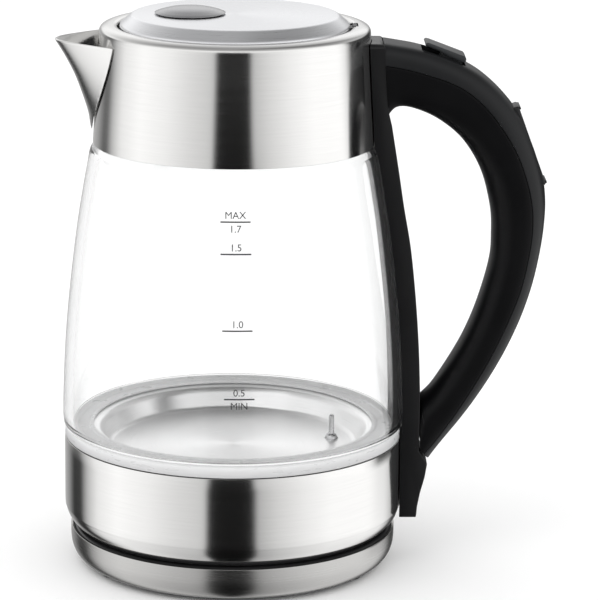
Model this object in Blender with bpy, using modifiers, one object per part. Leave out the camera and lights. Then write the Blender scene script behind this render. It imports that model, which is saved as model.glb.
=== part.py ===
# Glass electric kettle on its power base, as separate parts.
# Lengths are written in millimetres and turned into metres by MM.
# The feet stand on z = 0, the body's axis is x = y = 0, the spout points to -X and the handle to +X.

import math

import bmesh
import bpy
from mathutils import Matrix, Vector

MM = 0.001
GAP = 0.3  # clearance between pieces that touch

RING_STEPS = 36
MID_STEPS = 24
SMALL_STEPS = 12

# Power base
SKIRT_R = 73.6
SKIRT_TOP = 16.9
UNDERSIDE_Z = 1.2
DECK_TOP = 17.2
FOOT_CIRCLE = 63.2
FOOT_ANGLES = (31, 149, 211, 329)
BASE_SCREW_ANGLES = (90, 210, 330)
BASE_SCREW_CIRCLE = 44.0
SPIGOT_R = 11.5
SPIGOT_TOP = 27.0

# Jug
BAND_R = 76.2
BAND_BOTTOM = 20.4
BAND_TOP = 58.9
PLATE_TOP = 53.3
PLATE_R = 55.0
PROBE_AT = (45.2, 9.0)
SHEET = 0.8  # steel sheet thickness
SEAL_R = 76.0
SEAL_TOP = 64.8
GLASS_WALL = 2.6
GLASS_FOOT = 65.2
GLASS_TOP = 212.0
COLLAR_FOOT = 192.9
COLLAR_FOOT_R = 62.9
COLLAR_SHOULDER = 240.2
COLLAR_SHOULDER_R = 60.0
RIM_TOP = 245.3
RIM_R = 51.9

# Lid
LID_R = 50.9
LID_FLAT_R = 45.6
LID_EDGE_Z = 245.4
LID_TOP = 249.8
LID_AXIS = (53.0, 0.0, 244.2)
KNOB_X = -19.8
KNOB_R = 15.8
KNOB_TOP = 253.0

# Spout
SPOUT_LIP = 239.0
SPOUT_OPENING_HALF = 19.0

# Handle
SPINE_HALF = 13.0
HANDLE_HALF = 13.5
SPINE_BOTTOM = 22.2
SPINE_TOP = 238.6

# Rocker switch: centre of its outer face, and the angle of its length below +X
SWITCH_CENTRE = Vector((132.9, 0.0, 190.4))
SWITCH_SLOPE = math.radians(69.6)
SWITCH_SIZE = (33.0, 13.0, 4.6)

# Lid release button: centre of its top face, and its slope below +X
BUTTON_CENTRE = Vector((94.0, 0.0, 235.2))
BUTTON_SLOPE = math.radians(21.8)
BUTTON_SIZE = (21.0, 17.0, 8.0)

# Latch bolt behind the lid plug
LATCH_CENTRE = (56.0, 0.0, 232.2)
LATCH_SIZE = (14.0, 8.2, 2.4)

FINISHES = {
    "brushed_steel": ((0.62, 0.62, 0.63, 1.0), 0.3, 1.0, 0.0),
    "polished_steel": ((0.7, 0.7, 0.71, 1.0), 0.16, 1.0, 0.0),
    "brass": ((0.72, 0.52, 0.24, 1.0), 0.3, 1.0, 0.0),
    "copper": ((0.72, 0.4, 0.27, 1.0), 0.35, 1.0, 0.0),
    "aluminium": ((0.6, 0.61, 0.62, 1.0), 0.42, 1.0, 0.0),
    "black_plastic": ((0.018, 0.018, 0.02, 1.0), 0.42, 0.0, 0.0),
    "grey_plastic": ((0.2, 0.2, 0.21, 1.0), 0.5, 0.0, 0.0),
    "white_plastic": ((0.75, 0.74, 0.7, 1.0), 0.5, 0.0, 0.0),
    "red_sheath": ((0.4, 0.05, 0.04, 1.0), 0.5, 0.0, 0.0),
    "blue_sheath": ((0.05, 0.09, 0.35, 1.0), 0.5, 0.0, 0.0),
    "rubber": ((0.03, 0.03, 0.03, 1.0), 0.8, 0.0, 0.0),
    "silicone": ((0.82, 0.83, 0.83, 1.0), 0.35, 0.0, 0.6),
    "glass": ((0.96, 0.98, 0.98, 1.0), 0.03, 0.0, 0.95),
}


# ---------------------------------------------------------------- helpers

def clear_scene():
    for obj in list(bpy.data.objects):
        bpy.data.objects.remove(obj, do_unlink=True)


def new_collection(name):
    collection = bpy.data.collections.new(name)
    bpy.context.scene.collection.children.link(collection)
    return collection


def move_to(obj, collection):
    for owner in list(obj.users_collection):
        owner.objects.unlink(obj)
    collection.objects.link(obj)


def finish_part(obj, finish):
    """Put a part in the kettle's collection and give it its own material."""
    colour, roughness, metallic, transmission = FINISHES[finish]
    material = bpy.data.materials.new(obj.name + "_" + finish)
    material.use_nodes = True
    shader = material.node_tree.nodes["Principled BSDF"]
    shader.inputs["Base Color"].default_value = colour
    shader.inputs["Roughness"].default_value = roughness
    shader.inputs["Metallic"].default_value = metallic
    shader.inputs["Transmission Weight"].default_value = transmission
    obj.data.materials.clear()
    obj.data.materials.append(material)
    move_to(obj, PARTS)
    return obj


def as_cutter(obj):
    obj.hide_render = True
    obj.display_type = "WIRE"
    move_to(obj, CUTTERS)
    return obj


def boolean(obj, other, operation="DIFFERENCE"):
    modifier = obj.modifiers.new(other.name, "BOOLEAN")
    modifier.operation = operation
    modifier.object = other
    modifier.solver = "EXACT"
    as_cutter(other)
    return obj


def bevel(obj, width, segments=2, angle=40):
    modifier = obj.modifiers.new("rounded_edges", "BEVEL")
    modifier.width = width * MM
    modifier.segments = segments
    modifier.limit_method = "ANGLE"
    modifier.angle_limit = math.radians(angle)
    return obj


def link_mesh(name, mesh):
    obj = bpy.data.objects.new(name, mesh)
    bpy.context.scene.collection.objects.link(obj)
    return obj


def turned(name, profile, steps=RING_STEPS):
    """Turn a profile of (radius, height) points about Z. It runs down the outer side and back up inside.
    A profile that starts and ends on the axis stays open there."""
    mesh = bpy.data.meshes.new(name)
    points = [(radius * MM, 0.0, height * MM) for radius, height in profile]
    edges = [(i, i + 1) for i in range(len(points) - 1)]
    if profile[0][0] > 0:
        edges.append((len(points) - 1, 0))
    mesh.from_pydata(points, edges, [])
    obj = link_mesh(name, mesh)
    screw = obj.modifiers.new("turn", "SCREW")
    screw.axis = "Z"
    screw.angle = math.tau
    screw.steps = steps
    screw.render_steps = steps
    screw.use_merge_vertices = True
    screw.merge_threshold = 0.00001
    screw.use_smooth_shade = False
    return obj


def apply_scale(obj):
    obj.data.transform(Matrix.Diagonal(obj.scale.to_4d()))
    obj.scale = (1.0, 1.0, 1.0)


def box(name, size, centre, slope=0.0):
    """A box of the given size, turned about Y by slope."""
    bpy.ops.mesh.primitive_cube_add(size=1.0, location=[c * MM for c in centre])
    obj = bpy.context.active_object
    obj.name = name
    obj.scale = [s * MM for s in size]
    apply_scale(obj)
    obj.rotation_euler = (0.0, slope, 0.0)
    return obj


def cylinder(name, radius, low, high, at=(0.0, 0.0), steps=SMALL_STEPS):
    """An upright cylinder between two heights."""
    bpy.ops.mesh.primitive_cylinder_add(
        vertices=steps, radius=radius * MM, depth=(high - low) * MM,
        location=(at[0] * MM, at[1] * MM, (low + high) / 2 * MM))
    obj = bpy.context.active_object
    obj.name = name
    return obj


def cross_rod(name, radius, half_width, centre, steps=SMALL_STEPS):
    """A cylinder along Y."""
    bpy.ops.mesh.primitive_cylinder_add(
        vertices=steps, radius=radius * MM, depth=2 * half_width * MM,
        location=[c * MM for c in centre], rotation=(math.pi / 2, 0.0, 0.0))
    obj = bpy.context.active_object
    obj.name = name
    return obj


def smooth(points, per_span=3):
    """Points on a smooth line through the given ones (Catmull-Rom)."""
    ends = [points[0]] + list(points) + [points[-1]]
    line = []
    for before, start, stop, after in zip(ends, ends[1:], ends[2:], ends[3:]):
        for i in range(per_span):
            t = i / per_span
            line.append(tuple(
                0.5 * (2 * b + (c - a) * t + (2 * a - 5 * b + 4 * c - d) * t ** 2
                       + (3 * b - a - 3 * c + d) * t ** 3)
                for a, b, c, d in zip(before, start, stop, after)))
    line.append(tuple(points[-1]))
    return line


def offset(line, distance):
    """The line of (x, z) points moved sideways, to the left of its direction."""
    moved = []
    for i, point in enumerate(line):
        before = line[max(i - 1, 0)]
        after = line[min(i + 1, len(line) - 1)]
        along = Vector((after[0] - before[0], after[1] - before[1])).normalized()
        moved.append((point[0] - along.y * distance, point[1] + along.x * distance))
    return moved


def mesh_from_curve(curve_object):
    """Turn a filled or bevelled curve into a closed mesh object of the same name."""
    depsgraph = bpy.context.evaluated_depsgraph_get()
    name = curve_object.name
    mesh = bpy.data.meshes.new_from_object(curve_object.evaluated_get(depsgraph))
    shape = bmesh.new()
    shape.from_mesh(mesh)
    bmesh.ops.remove_doubles(shape, verts=shape.verts, dist=0.000001)
    bmesh.ops.dissolve_limit(shape, angle_limit=0.001, verts=shape.verts, edges=shape.edges)
    bmesh.ops.recalc_face_normals(shape, faces=shape.faces)
    shape.to_mesh(mesh)
    shape.free()
    matrix = curve_object.matrix_world.copy()
    bpy.data.objects.remove(curve_object, do_unlink=True)
    obj = link_mesh(name, mesh)
    obj.name = name
    obj.matrix_world = matrix
    return obj


def side_plate(name, outline, half_width):
    """A closed outline of (x, z) points, extruded both ways along Y."""
    curve = bpy.data.curves.new(name, "CURVE")
    curve.dimensions = "2D"
    curve.fill_mode = "BOTH"
    curve.extrude = half_width * MM
    spline = curve.splines.new("POLY")
    spline.points.add(len(outline) - 1)
    for point, (x, z) in zip(spline.points, outline):
        point.co = (x * MM, z * MM, 0.0, 1.0)
    spline.use_cyclic_u = True
    obj = bpy.data.objects.new(name, curve)
    bpy.context.scene.collection.objects.link(obj)
    obj.rotation_euler = (math.pi / 2, 0.0, 0.0)
    bpy.context.view_layer.update()
    return mesh_from_curve(obj)


def tube(name, points, radius, resolution=2, closed=False):
    """A round tube along a line of (x, y, z) points."""
    curve = bpy.data.curves.new(name, "CURVE")
    curve.dimensions = "3D"
    curve.bevel_depth = radius * MM
    curve.bevel_resolution = resolution
    curve.use_fill_caps = not closed
    spline = curve.splines.new("POLY")
    spline.points.add(len(points) - 1)
    for point, place in zip(spline.points, points):
        point.co = (place[0] * MM, place[1] * MM, place[2] * MM, 1.0)
    spline.use_cyclic_u = closed
    obj = bpy.data.objects.new(name, curve)
    bpy.context.scene.collection.objects.link(obj)
    bpy.context.view_layer.update()
    return mesh_from_curve(obj)


def on_circle(radius, degrees):
    return radius * math.cos(math.radians(degrees)), radius * math.sin(math.radians(degrees))


def joint_empty(name, place, parent=None):
    empty = bpy.data.objects.new(name, None)
    empty.empty_display_size = 0.01
    empty.location = [p * MM for p in place]
    PARTS.objects.link(empty)
    bpy.context.view_layer.update()
    if parent:
        attach(empty, parent)
    return empty


def attach(child, parent):
    child.parent = parent
    child.matrix_parent_inverse = parent.matrix_world.inverted()


# ---------------------------------------------------------------- outlines

# Outer radius of the jug at each height, from the band up to the collar's shoulder
GLASS_PROFILE = [
    (60.4, GLASS_TOP), (61.0, 200.0), (61.2, 194.2), (61.5, 193.2), (62.2, 192.3), (63.5, 190.6), (64.4, 188.6),
    (65.4, 183.0),
    (67.3, 172.5), (69.8, 157.2), (72.2, 138.5), (74.1, 121.0), (75.6, 103.0), (76.5, 85.0),
    (76.9, 70.0), (76.6, GLASS_FOOT),
]


def body_envelope(clearance, name):
    """A solid that wraps the whole jug with a clearance, to cut the pieces that lie against it."""
    sides = [(COLLAR_SHOULDER_R, COLLAR_SHOULDER), (COLLAR_FOOT_R, COLLAR_FOOT - 0.6)]
    sides += [point for point in GLASS_PROFILE if point[1] < 189.0]
    sides += [(SEAL_R, SEAL_TOP), (BAND_R, BAND_TOP + 0.3), (BAND_R, 28.0)]
    sides = [(radius + clearance, height) for radius, height in sides]
    top = [(0.0, 262.0), (55.0, 262.0), (COLLAR_SHOULDER_R + clearance, COLLAR_SHOULDER + 3.0)]
    return turned(name, top + sides + [(BAND_R + clearance, 10.0), (0.0, 10.0)])


def collar_radius(height):
    share = (height - COLLAR_FOOT) / (COLLAR_SHOULDER - COLLAR_FOOT)
    return COLLAR_FOOT_R + share * (COLLAR_SHOULDER_R - COLLAR_FOOT_R)


def body_radius(height):
    """Outer radius of the jug at a height."""
    if height >= COLLAR_FOOT:
        return collar_radius(height)
    if height <= GLASS_FOOT:
        return BAND_R
    for upper, lower in zip(GLASS_PROFILE, GLASS_PROFILE[1:]):
        if lower[1] <= height <= upper[1]:
            share = (height - lower[1]) / (upper[1] - lower[1])
            return lower[0] + share * (upper[0] - lower[0])
    return BAND_R


# The joint between spine and handle head, from the top down
SPINE_HEAD = [(66.0, SPINE_TOP), (66.0, 229.0), (68.5, 206.6), (69.4, 202.4)]
SPINE_FACE = smooth([(69.4, 202.4), (72.8, 182.0), (75.4, 165.5), (78.7, 147.0), (81.3, 124.0),
                     (83.1, 101.0), (84.0, 80.0)])
SPINE_LOW = [(84.0, 53.4), (87.8, 47.4), (86.8, 41.0), (84.8, 33.5), (83.6, 27.0), (83.2, SPINE_BOTTOM)]

HANDLE_OUTER = smooth([
    (66.3, 238.3), (74.6, 237.3), (83.0, 235.6), (93.0, 232.4), (101.0, 228.9), (108.0, 224.9),
    (116.6, 217.5), (124.0, 209.2), (129.5, 200.0), (133.6, 190.8), (137.0, 180.6), (138.7, 169.6),
    (138.6, 158.6), (137.4, 147.0), (134.4, 131.0), (128.8, 113.0), (120.8, 95.0), (112.4, 80.6),
    (104.0, 68.2), (95.0, 56.6), (88.8, 48.4)], 2)
HANDLE_INNER = smooth([
    (84.4, 76.6), (88.4, 79.6), (94.4, 88.6), (100.6, 99.2), (108.2, 116.4), (112.4, 130.2),
    (114.8, 144.0), (115.0, 157.0), (113.2, 168.8), (109.8, 180.4), (104.2, 190.9), (96.6, 199.6),
    (87.4, 205.9), (77.9, 209.9), (72.6, 210.2), (69.0, 206.6)], 2)
SEAM = smooth([
    (60.0, 229.4), (68.0, 228.8), (80.5, 226.2), (97.6, 220.4), (108.7, 212.5), (117.6, 201.9),
    (124.4, 190.7), (129.0, 179.0), (131.8, 167.5), (132.5, 157.0), (131.4, 145.0), (127.2, 125.6),
    (116.9, 100.6), (105.9, 80.2), (95.2, 63.4), (88.0, 54.0), (78.0, 44.5)], 2)
WIRE_WAY = [(60.5, 222.6), (66.0, 223.4), (74.0, 223.2), (84.0, 220.6), (96.0, 216.6), (107.0, 208.4),
            (115.6, 198.4), (119.0, 192.5)]


# ---------------------------------------------------------------- power base

def make_base_skirt():
    skirt = turned("base_skirt", [
        (SKIRT_R, SKIRT_TOP), (SKIRT_R, 12.0), (73.2, 8.6), (72.1, 5.6), (70.4, 3.4), (68.8, 2.4), (67.2, 1.8),
        (67.2, 3.0), (68.2, 3.4), (69.4, 4.3), (70.9, 6.2), (72.0, 8.9), (72.4, 12.0), (72.4, SKIRT_TOP)])
    boolean(skirt, box("gland_notch", (9.2, 16.0, 7.2), (0.0, 72.0, 8.6)))
    return finish_part(skirt, "brushed_steel")


def make_base_deck():
    deck = turned("base_deck", [
        (71.2, DECK_TOP), (72.1, DECK_TOP - 0.7), (72.1, 13.0), (70.6, 13.0), (70.6, 15.2),
        (12.3, 15.2), (12.3, DECK_TOP)])
    for angle in BASE_SCREW_ANGLES:
        at = on_circle(BASE_SCREW_CIRCLE, angle)
        boolean(deck, cylinder("deck_boss_%d" % angle, 3.6, 4.6, 16.0, at), "UNION")
    for angle in BASE_SCREW_ANGLES:
        at = on_circle(BASE_SCREW_CIRCLE, angle)
        boolean(deck, cylinder("deck_boss_hole_%d" % angle, 1.75, 3.0, 13.0, at))
    return finish_part(deck, "black_plastic")


def make_base_underside():
    under = turned("base_underside", [
        (0.0, 3.9), (64.0, 3.9), (66.8, 2.8), (66.8, UNDERSIDE_Z + 0.5), (66.4, UNDERSIDE_Z),
        (0.0, UNDERSIDE_Z)])
    for angle in BASE_SCREW_ANGLES:
        at = on_circle(BASE_SCREW_CIRCLE, angle)
        boolean(under, cylinder("counterbore_%d" % angle, 3.4, 0.0, 2.7, at))
        boolean(under, cylinder("screw_way_%d" % angle, 1.75, 0.0, 6.0, at))
    return finish_part(under, "black_plastic")


def make_feet():
    feet = []
    for number, angle in enumerate(FOOT_ANGLES, 1):
        x, y = on_circle(FOOT_CIRCLE, angle)
        foot = turned("rubber_foot_%d" % number, [
            (0.0, 0.9), (3.3, 0.9), (3.3, 0.3), (3.0, 0.0), (0.0, 0.0)], 16)
        foot.location = (x * MM, y * MM, 0.0)
        feet.append(finish_part(foot, "rubber"))
    return feet


def screw_profile(head_r, head_low, head_high, shank_r, shank_end):
    return [(0.0, shank_end), (shank_r, shank_end), (shank_r, head_high), (head_r, head_high),
            (head_r, head_low + 0.4), (head_r - 0.7, head_low), (0.0, head_low)]


def make_base_screws():
    screws = []
    for number, angle in enumerate(BASE_SCREW_ANGLES, 1):
        x, y = on_circle(BASE_SCREW_CIRCLE, angle)
        screw = turned("base_screw_%d" % number, screw_profile(3.0, 1.3, 2.4, 1.4, 11.5), SMALL_STEPS)
        screw.location = (x * MM, y * MM, 0.0)
        screws.append(finish_part(screw, "polished_steel"))
    return screws


def make_cord_gland():
    gland = box("cord_gland", (8.4, 6.4, 6.4), (0.0, 72.6, 8.6))
    bevel(gland, 1.2)
    boolean(gland, cross_rod("gland_mouth", 2.6, 4.0, (0.0, 74.6, 8.6)))
    return finish_part(gland, "black_plastic")


def make_connector_spigot():
    """The round post that the jug drops onto: a centre hole and a ring-shaped slot hold the contacts."""
    spigot = turned("connector_spigot", [
        (SPIGOT_R - 0.8, SPIGOT_TOP), (SPIGOT_R, SPIGOT_TOP - 0.8), (SPIGOT_R, 14.9), (17.0, 14.9),
        (17.0, 11.9), (2.6, 11.9), (2.6, SPIGOT_TOP)], MID_STEPS)
    slot = turned("spigot_slot", [(8.8, 30.0), (8.8, 13.4), (5.8, 13.4), (5.8, 30.0)], MID_STEPS)
    boolean(spigot, slot)
    return finish_part(spigot, "black_plastic")


def make_base_contacts():
    live = cylinder("live_contact", 2.2, 10.0, 18.2)
    neutral = turned("neutral_contact", [(8.4, 18.2), (8.4, 13.8), (6.2, 13.8), (6.2, 18.2)], MID_STEPS)
    return [finish_part(live, "brass"), finish_part(neutral, "brass")]


def make_swivel_ring():
    """The loose ring round the post on which the jug turns."""
    ring = turned("swivel_ring", [
        (13.1, 20.4), (13.1, 17.6), (11.9, 17.6), (11.9, 20.4)], MID_STEPS)
    return finish_part(ring, "grey_plastic")


# ---------------------------------------------------------------- jug, lower part

def make_jug_base_cover():
    cover = turned("jug_base_cover", [
        (71.9, 26.0), (71.9, 19.6), (70.3, 17.6), (18.4, 17.6), (18.4, 19.6), (69.9, 19.6), (69.9, 26.0)])
    for angle in (30, 150, 270):
        at = on_circle(52.0, angle)
        boolean(cover, cylinder("cover_screw_way_%d" % angle, 1.75, 15.0, 22.0, at))
        boolean(cover, cylinder("cover_screw_seat_%d" % angle, 3.2, 15.0, 18.6, at))
    return finish_part(cover, "black_plastic")


def make_jug_base_screws():
    screws = []
    for number, angle in enumerate((30, 150, 270), 1):
        x, y = on_circle(52.0, angle)
        screw = turned("jug_base_screw_%d" % number, screw_profile(2.8, 17.7, 18.3, 1.4, 30.0), SMALL_STEPS)
        screw.location = (x * MM, y * MM, 0.0)
        screws.append(finish_part(screw, "polished_steel"))
    return screws


def make_jug_connector():
    """The socket under the jug, open downwards round the post."""
    socket = turned("jug_connector", [
        (22.0, 24.0), (22.0, 20.0), (18.0, 20.0), (18.0, 17.6), (13.6, 17.6), (13.6, 21.0), (12.3, 21.6),
        (12.3, 28.0), (2.0, 28.0), (2.0, 31.0), (16.0, 31.0), (16.0, 24.0)], MID_STEPS)
    ring_seat = turned("ring_seat", [(8.3, 30.0), (8.3, 26.0), (6.5, 26.0), (6.5, 30.0)], MID_STEPS)
    boolean(socket, ring_seat)
    return finish_part(socket, "black_plastic")


def make_jug_contacts():
    pin = cylinder("live_pin", 1.6, 18.5, 31.6)
    ring = turned("neutral_ring", [(7.9, 29.6), (7.9, 18.5), (6.9, 18.5), (6.9, 29.6)], MID_STEPS)
    return [finish_part(pin, "brass"), finish_part(ring, "brass")]


def make_control_unit():
    """The thermostat block above the socket, with its snap disc facing the plate."""
    block = box("control_unit", (44.0, 30.0, 9.4), (0.0, 0.0, 37.0))
    bevel(block, 1.5, 1)
    return finish_part(block, "white_plastic")


def make_snap_disc():
    disc = turned("snap_disc", [(0.0, 44.2), (5.0, 43.9), (12.0, 42.9), (12.0, 42.2), (0.0, 42.2)], MID_STEPS)
    return finish_part(disc, "copper")


def make_jug_band():
    band = turned("jug_band", [
        (BAND_R, BAND_TOP), (BAND_R, 30.0), (75.9, 26.4), (75.0, 23.2), (73.3, BAND_BOTTOM),
        (72.4, BAND_BOTTOM), (74.2, 23.6), (75.1, 26.6), (BAND_R - SHEET, 30.0), (BAND_R - SHEET, BAND_TOP)])
    boolean(band, box("band_wire_way", (14.0, 8.4, 8.0), (76.0, 0.0, 40.0)))
    return finish_part(band, "brushed_steel")


def make_heating_plate():
    plate = turned("heating_plate", [
        (0.0, PLATE_TOP), (PLATE_R, PLATE_TOP), (57.0, PLATE_TOP + 0.9), (61.6, 61.8), (63.4, 63.5),
        (66.4, 63.5), (66.4, 62.7), (63.8, 62.7), (62.3, 61.4), (57.6, PLATE_TOP + 0.3),
        (55.3, PLATE_TOP - SHEET), (0.0, PLATE_TOP - SHEET)])
    boolean(plate, cylinder("probe_way", 3.2, 50.0, 56.0, PROBE_AT))
    return finish_part(plate, "brushed_steel")


def make_heat_spreader():
    spreader = turned("heat_spreader", [
        (52.0, 52.2), (52.0, 49.6), (13.0, 49.6), (13.0, 52.2)])
    boolean(spreader, cylinder("spreader_probe_way", 3.2, 45.0, 56.0, PROBE_AT))
    return finish_part(spreader, "aluminium")


def make_heating_element():
    """The sheathed element: most of a circle, with both cold ends turned down."""
    arc = [on_circle(33.0, angle) for angle in range(35, 326, 15)]
    points = [(x, y, 45.8) for x, y in arc]
    first = points[0]
    last = points[-1]
    points = [(first[0] + 1.5, first[1] - 1.5, 32.0), (first[0] + 1.5, first[1] - 1.5, 43.0)] + points
    points += [(last[0] + 1.5, last[1] + 1.5, 43.0), (last[0] + 1.5, last[1] + 1.5, 32.0)]
    return finish_part(tube("heating_element", points, 3.2, 1), "polished_steel")


def make_sensor_probe():
    """The small temperature probe that stands up through the plate."""
    probe = turned("sensor_probe", [
        (0.0, 64.5), (0.9, 64.3), (1.2, 63.6), (1.2, 55.4), (2.8, 54.6), (2.8, 46.0), (0.0, 46.0)], SMALL_STEPS)
    probe.location = (PROBE_AT[0] * MM, PROBE_AT[1] * MM, 0.0)
    return finish_part(probe, "polished_steel")


def make_seal_ring():
    """The clear silicone ring between band, plate and glass."""
    ring = turned("seal_ring", [
        (75.0, SEAL_TOP), (SEAL_R, 63.8), (SEAL_R, BAND_TOP + GAP), (66.8, BAND_TOP + GAP), (66.8, 63.8),
        (63.0, 63.8), (63.0, SEAL_TOP)])
    return finish_part(ring, "silicone")


# ---------------------------------------------------------------- jug, glass and collar

def make_glass_body():
    inner = [(radius - GLASS_WALL, height) for radius, height in reversed(GLASS_PROFILE)]
    return finish_part(turned("glass_body", GLASS_PROFILE + inner), "glass")


def spout_opening(name):
    return box(name, (34.0, 2 * SPOUT_OPENING_HALF, 20.4), (-62.0, 0.0, 227.4))


def make_top_collar():
    collar = turned("top_collar", [
        (RIM_R + 1.6, RIM_TOP), (55.6, 245.0), (57.8, 243.8), (59.4, 242.1), (COLLAR_SHOULDER_R, COLLAR_SHOULDER),
        (COLLAR_FOOT_R, COLLAR_FOOT), (COLLAR_FOOT_R - SHEET, COLLAR_FOOT),
        (COLLAR_SHOULDER_R - SHEET, COLLAR_SHOULDER), (58.7, 241.6), (57.4, 243.1), (55.4, 244.2),
        (RIM_R + 1.8, 244.5), (RIM_R + SHEET, 244.0), (RIM_R + SHEET, 240.4), (RIM_R, 240.4), (RIM_R, 244.4)])
    boolean(collar, spout_opening("collar_spout_opening"))
    boolean(collar, box("hinge_notch", (6.0, 18.0, 8.0), (53.2, 0.0, 243.6)))
    boolean(collar, box("collar_latch_way", (8.0, 9.4, 3.6), (60.4, 0.0, 232.2)))
    boolean(collar, box("collar_wire_way", (8.0, 9.4, 5.4), (60.4, 0.0, 222.8)))
    return finish_part(collar, "brushed_steel")


def make_neck_seal():
    seal = turned("neck_seal", [(60.6, 215.2), (60.6, 212.4), (57.4, 212.4), (57.4, 215.2)])
    return finish_part(seal, "silicone")


def make_rim_liner():
    """The plastic throat under the collar's rim. It carries two hinge ears at the back."""
    liner = turned("rim_liner", [
        (51.2, 239.8), (58.8, 239.8), (60.2, 215.6), (56.6, 215.6), (56.0, 229.0), (50.2, 233.6), (50.2, 239.0)])
    for side in (-1, 1):
        ear = box("ear_web_%s" % ("left" if side < 0 else "right"), (3.0, 3.0, 6.0), (54.6, side * 6.9, 241.6))
        boolean(liner, ear, "UNION")
        knuckle = cross_rod("ear_knuckle_%s" % ("left" if side < 0 else "right"), 1.9, 1.5,
                            (LID_AXIS[0], side * 6.9, LID_AXIS[2]))
        boolean(liner, knuckle, "UNION")
    boolean(liner, cross_rod("ear_bore", 1.15, 12.0, LID_AXIS))
    boolean(liner, box("hinge_trough", (6.0, 9.8, 9.0), (53.4, 0.0, 241.4)))
    boolean(liner, spout_opening("liner_spout_opening"))
    boolean(liner, box("liner_latch_way", (16.0, 9.4, 3.6), (54.4, 0.0, 232.2)))
    return finish_part(liner, "black_plastic")


def make_hinge_pin():
    return finish_part(cross_rod("lid_hinge_pin", 0.8, 8.6, LID_AXIS), "polished_steel")


def make_spout_filter():
    """A slotted strainer that stands in the collar's opening."""
    plate = box("spout_filter", (1.6, 37.2, 19.6), (-51.0, 0.0, 227.4))
    for number in range(7):
        y = (number - 3) * 4.8
        boolean(plate, box("filter_slot_%d" % number, (6.0, 2.2, 14.0), (-51.0, y, 227.4)))
    return finish_part(plate, "grey_plastic")


def spout_section(height, nose_x, half_width):
    """Points across the spout at one height, from one weld round the nose to the other."""
    roundness = 0.28
    reach = math.sqrt(1 + roundness ** 2) - roundness
    root_x = -math.sqrt(max(collar_radius(height) ** 2 - half_width ** 2, 0.0)) + 3.0
    points = []
    for i in range(-6, 7):
        share = i / 6
        pull = (math.sqrt(share ** 2 + roundness ** 2) - roundness) / reach
        points.append((nose_x + (root_x - nose_x) * pull, half_width * share, height))
    return points


def make_spout():
    """A pressed steel spout: rows of points from the weld's foot up to the lip, joined by a loft."""
    stations = [(195.5, -60.6, 3.0), (199.0, -62.9, 10.0), (206.0, -64.1, 19.0), (214.0, -66.6, 25.6),
                (223.5, -70.2, 29.6), (232.5, -74.9, 32.2), (SPOUT_LIP, -79.0, 33.4)]
    shape = bmesh.new()
    rows = []
    for height, nose_x, half_width in stations:
        row = spout_section(height, nose_x, half_width)
        rows.append([shape.verts.new([c * MM for c in point]) for point in row])
    for low, high in zip(rows, rows[1:]):
        for i in range(len(low) - 1):
            shape.faces.new((low[i], high[i], high[i + 1], low[i + 1]))
    mesh = bpy.data.meshes.new("spout")
    shape.to_mesh(mesh)
    shape.free()
    spout = link_mesh("spout", mesh)
    shell = spout.modifiers.new("sheet", "SOLIDIFY")
    shell.thickness = SHEET * MM
    shell.offset = -1.0
    boolean(spout, turned("spout_weld_line", [
        (0.0, 250.0), (COLLAR_SHOULDER_R - 0.3, 250.0), (COLLAR_FOOT_R + 0.9, 185.0), (0.0, 185.0)]))
    return finish_part(spout, "brushed_steel")


# ---------------------------------------------------------------- handle

def make_handle_spine():
    outline = SPINE_HEAD + SPINE_FACE[1:] + SPINE_LOW + [(50.0, SPINE_BOTTOM), (50.0, SPINE_TOP)]
    spine = side_plate("handle_spine", outline, SPINE_HALF)
    bevel(spine, 1.6, 2, 50)
    boolean(spine, body_envelope(0.4, "spine_seat"))
    boolean(spine, make_wire_groove())
    boolean(spine, tube("spine_wire_way", [(x, 0.0, z) for x, z in WIRE_WAY], 3.6))
    boolean(spine, box("spine_latch_way", (12.0, 9.4, 3.6), (62.0, 0.0, 232.2)))
    return finish_part(spine, "black_plastic")


def make_wire_groove():
    """The wires' groove along the side that lies against the jug."""
    heights = (34.0, 62.0, 90.0, 118.0, 146.0, 174.0, 200.0, 226.0)
    depth = [(body_radius(height) + 4.4, height) for height in heights]
    outline = [(50.0, heights[0])] + depth + [(50.0, heights[-1])]
    return side_plate("wire_groove", outline, 4.0)


def handle_blank(name):
    outline = HANDLE_OUTER + [(84.4, 54.0)] + HANDLE_INNER + [(66.4, 229.0)]
    blank = side_plate(name, outline, HANDLE_HALF)
    return bevel(blank, 5.0, 3, 50)


def seam_cutter(name, outside):
    """Everything on one side of the seam between handle body and cover."""
    line = offset(SEAM, -GAP / 2 if outside else GAP / 2)
    if outside:
        corners = [(78.0, 20.0), (170.0, 20.0), (170.0, 260.0), (60.0, 260.0)]
    else:
        corners = [(40.0, 44.5), (40.0, 229.4)]
    return side_plate(name, line + corners, 40.0)


def switch_place(depth):
    """A point below the switch's outer face."""
    normal = Vector((math.sin(SWITCH_SLOPE), 0.0, math.cos(SWITCH_SLOPE)))
    return SWITCH_CENTRE - normal * depth


def button_place(depth):
    normal = Vector((math.sin(BUTTON_SLOPE), 0.0, math.cos(BUTTON_SLOPE)))
    return BUTTON_CENTRE - normal * depth


def handle_pockets(side):
    """The spaces for wires, switch and button, cut from both halves of the handle."""
    length, width, thick = SWITCH_SIZE
    long, wide, tall = BUTTON_SIZE
    return [
        tube("wire_way_" + side, [(x, 0.0, z) for x, z in WIRE_WAY], 3.6),
        box("switch_pocket_" + side, (length + 1.4, width + 1.0, 14.0), switch_place(1.0), SWITCH_SLOPE),
        box("module_pocket_" + side, (19.0, 9.8, 9.0), switch_place(11.6), SWITCH_SLOPE),
        box("button_pocket_" + side, (long + 1.0, wide + 1.0, 18.0), button_place(3.0), BUTTON_SLOPE),
    ]


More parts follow.
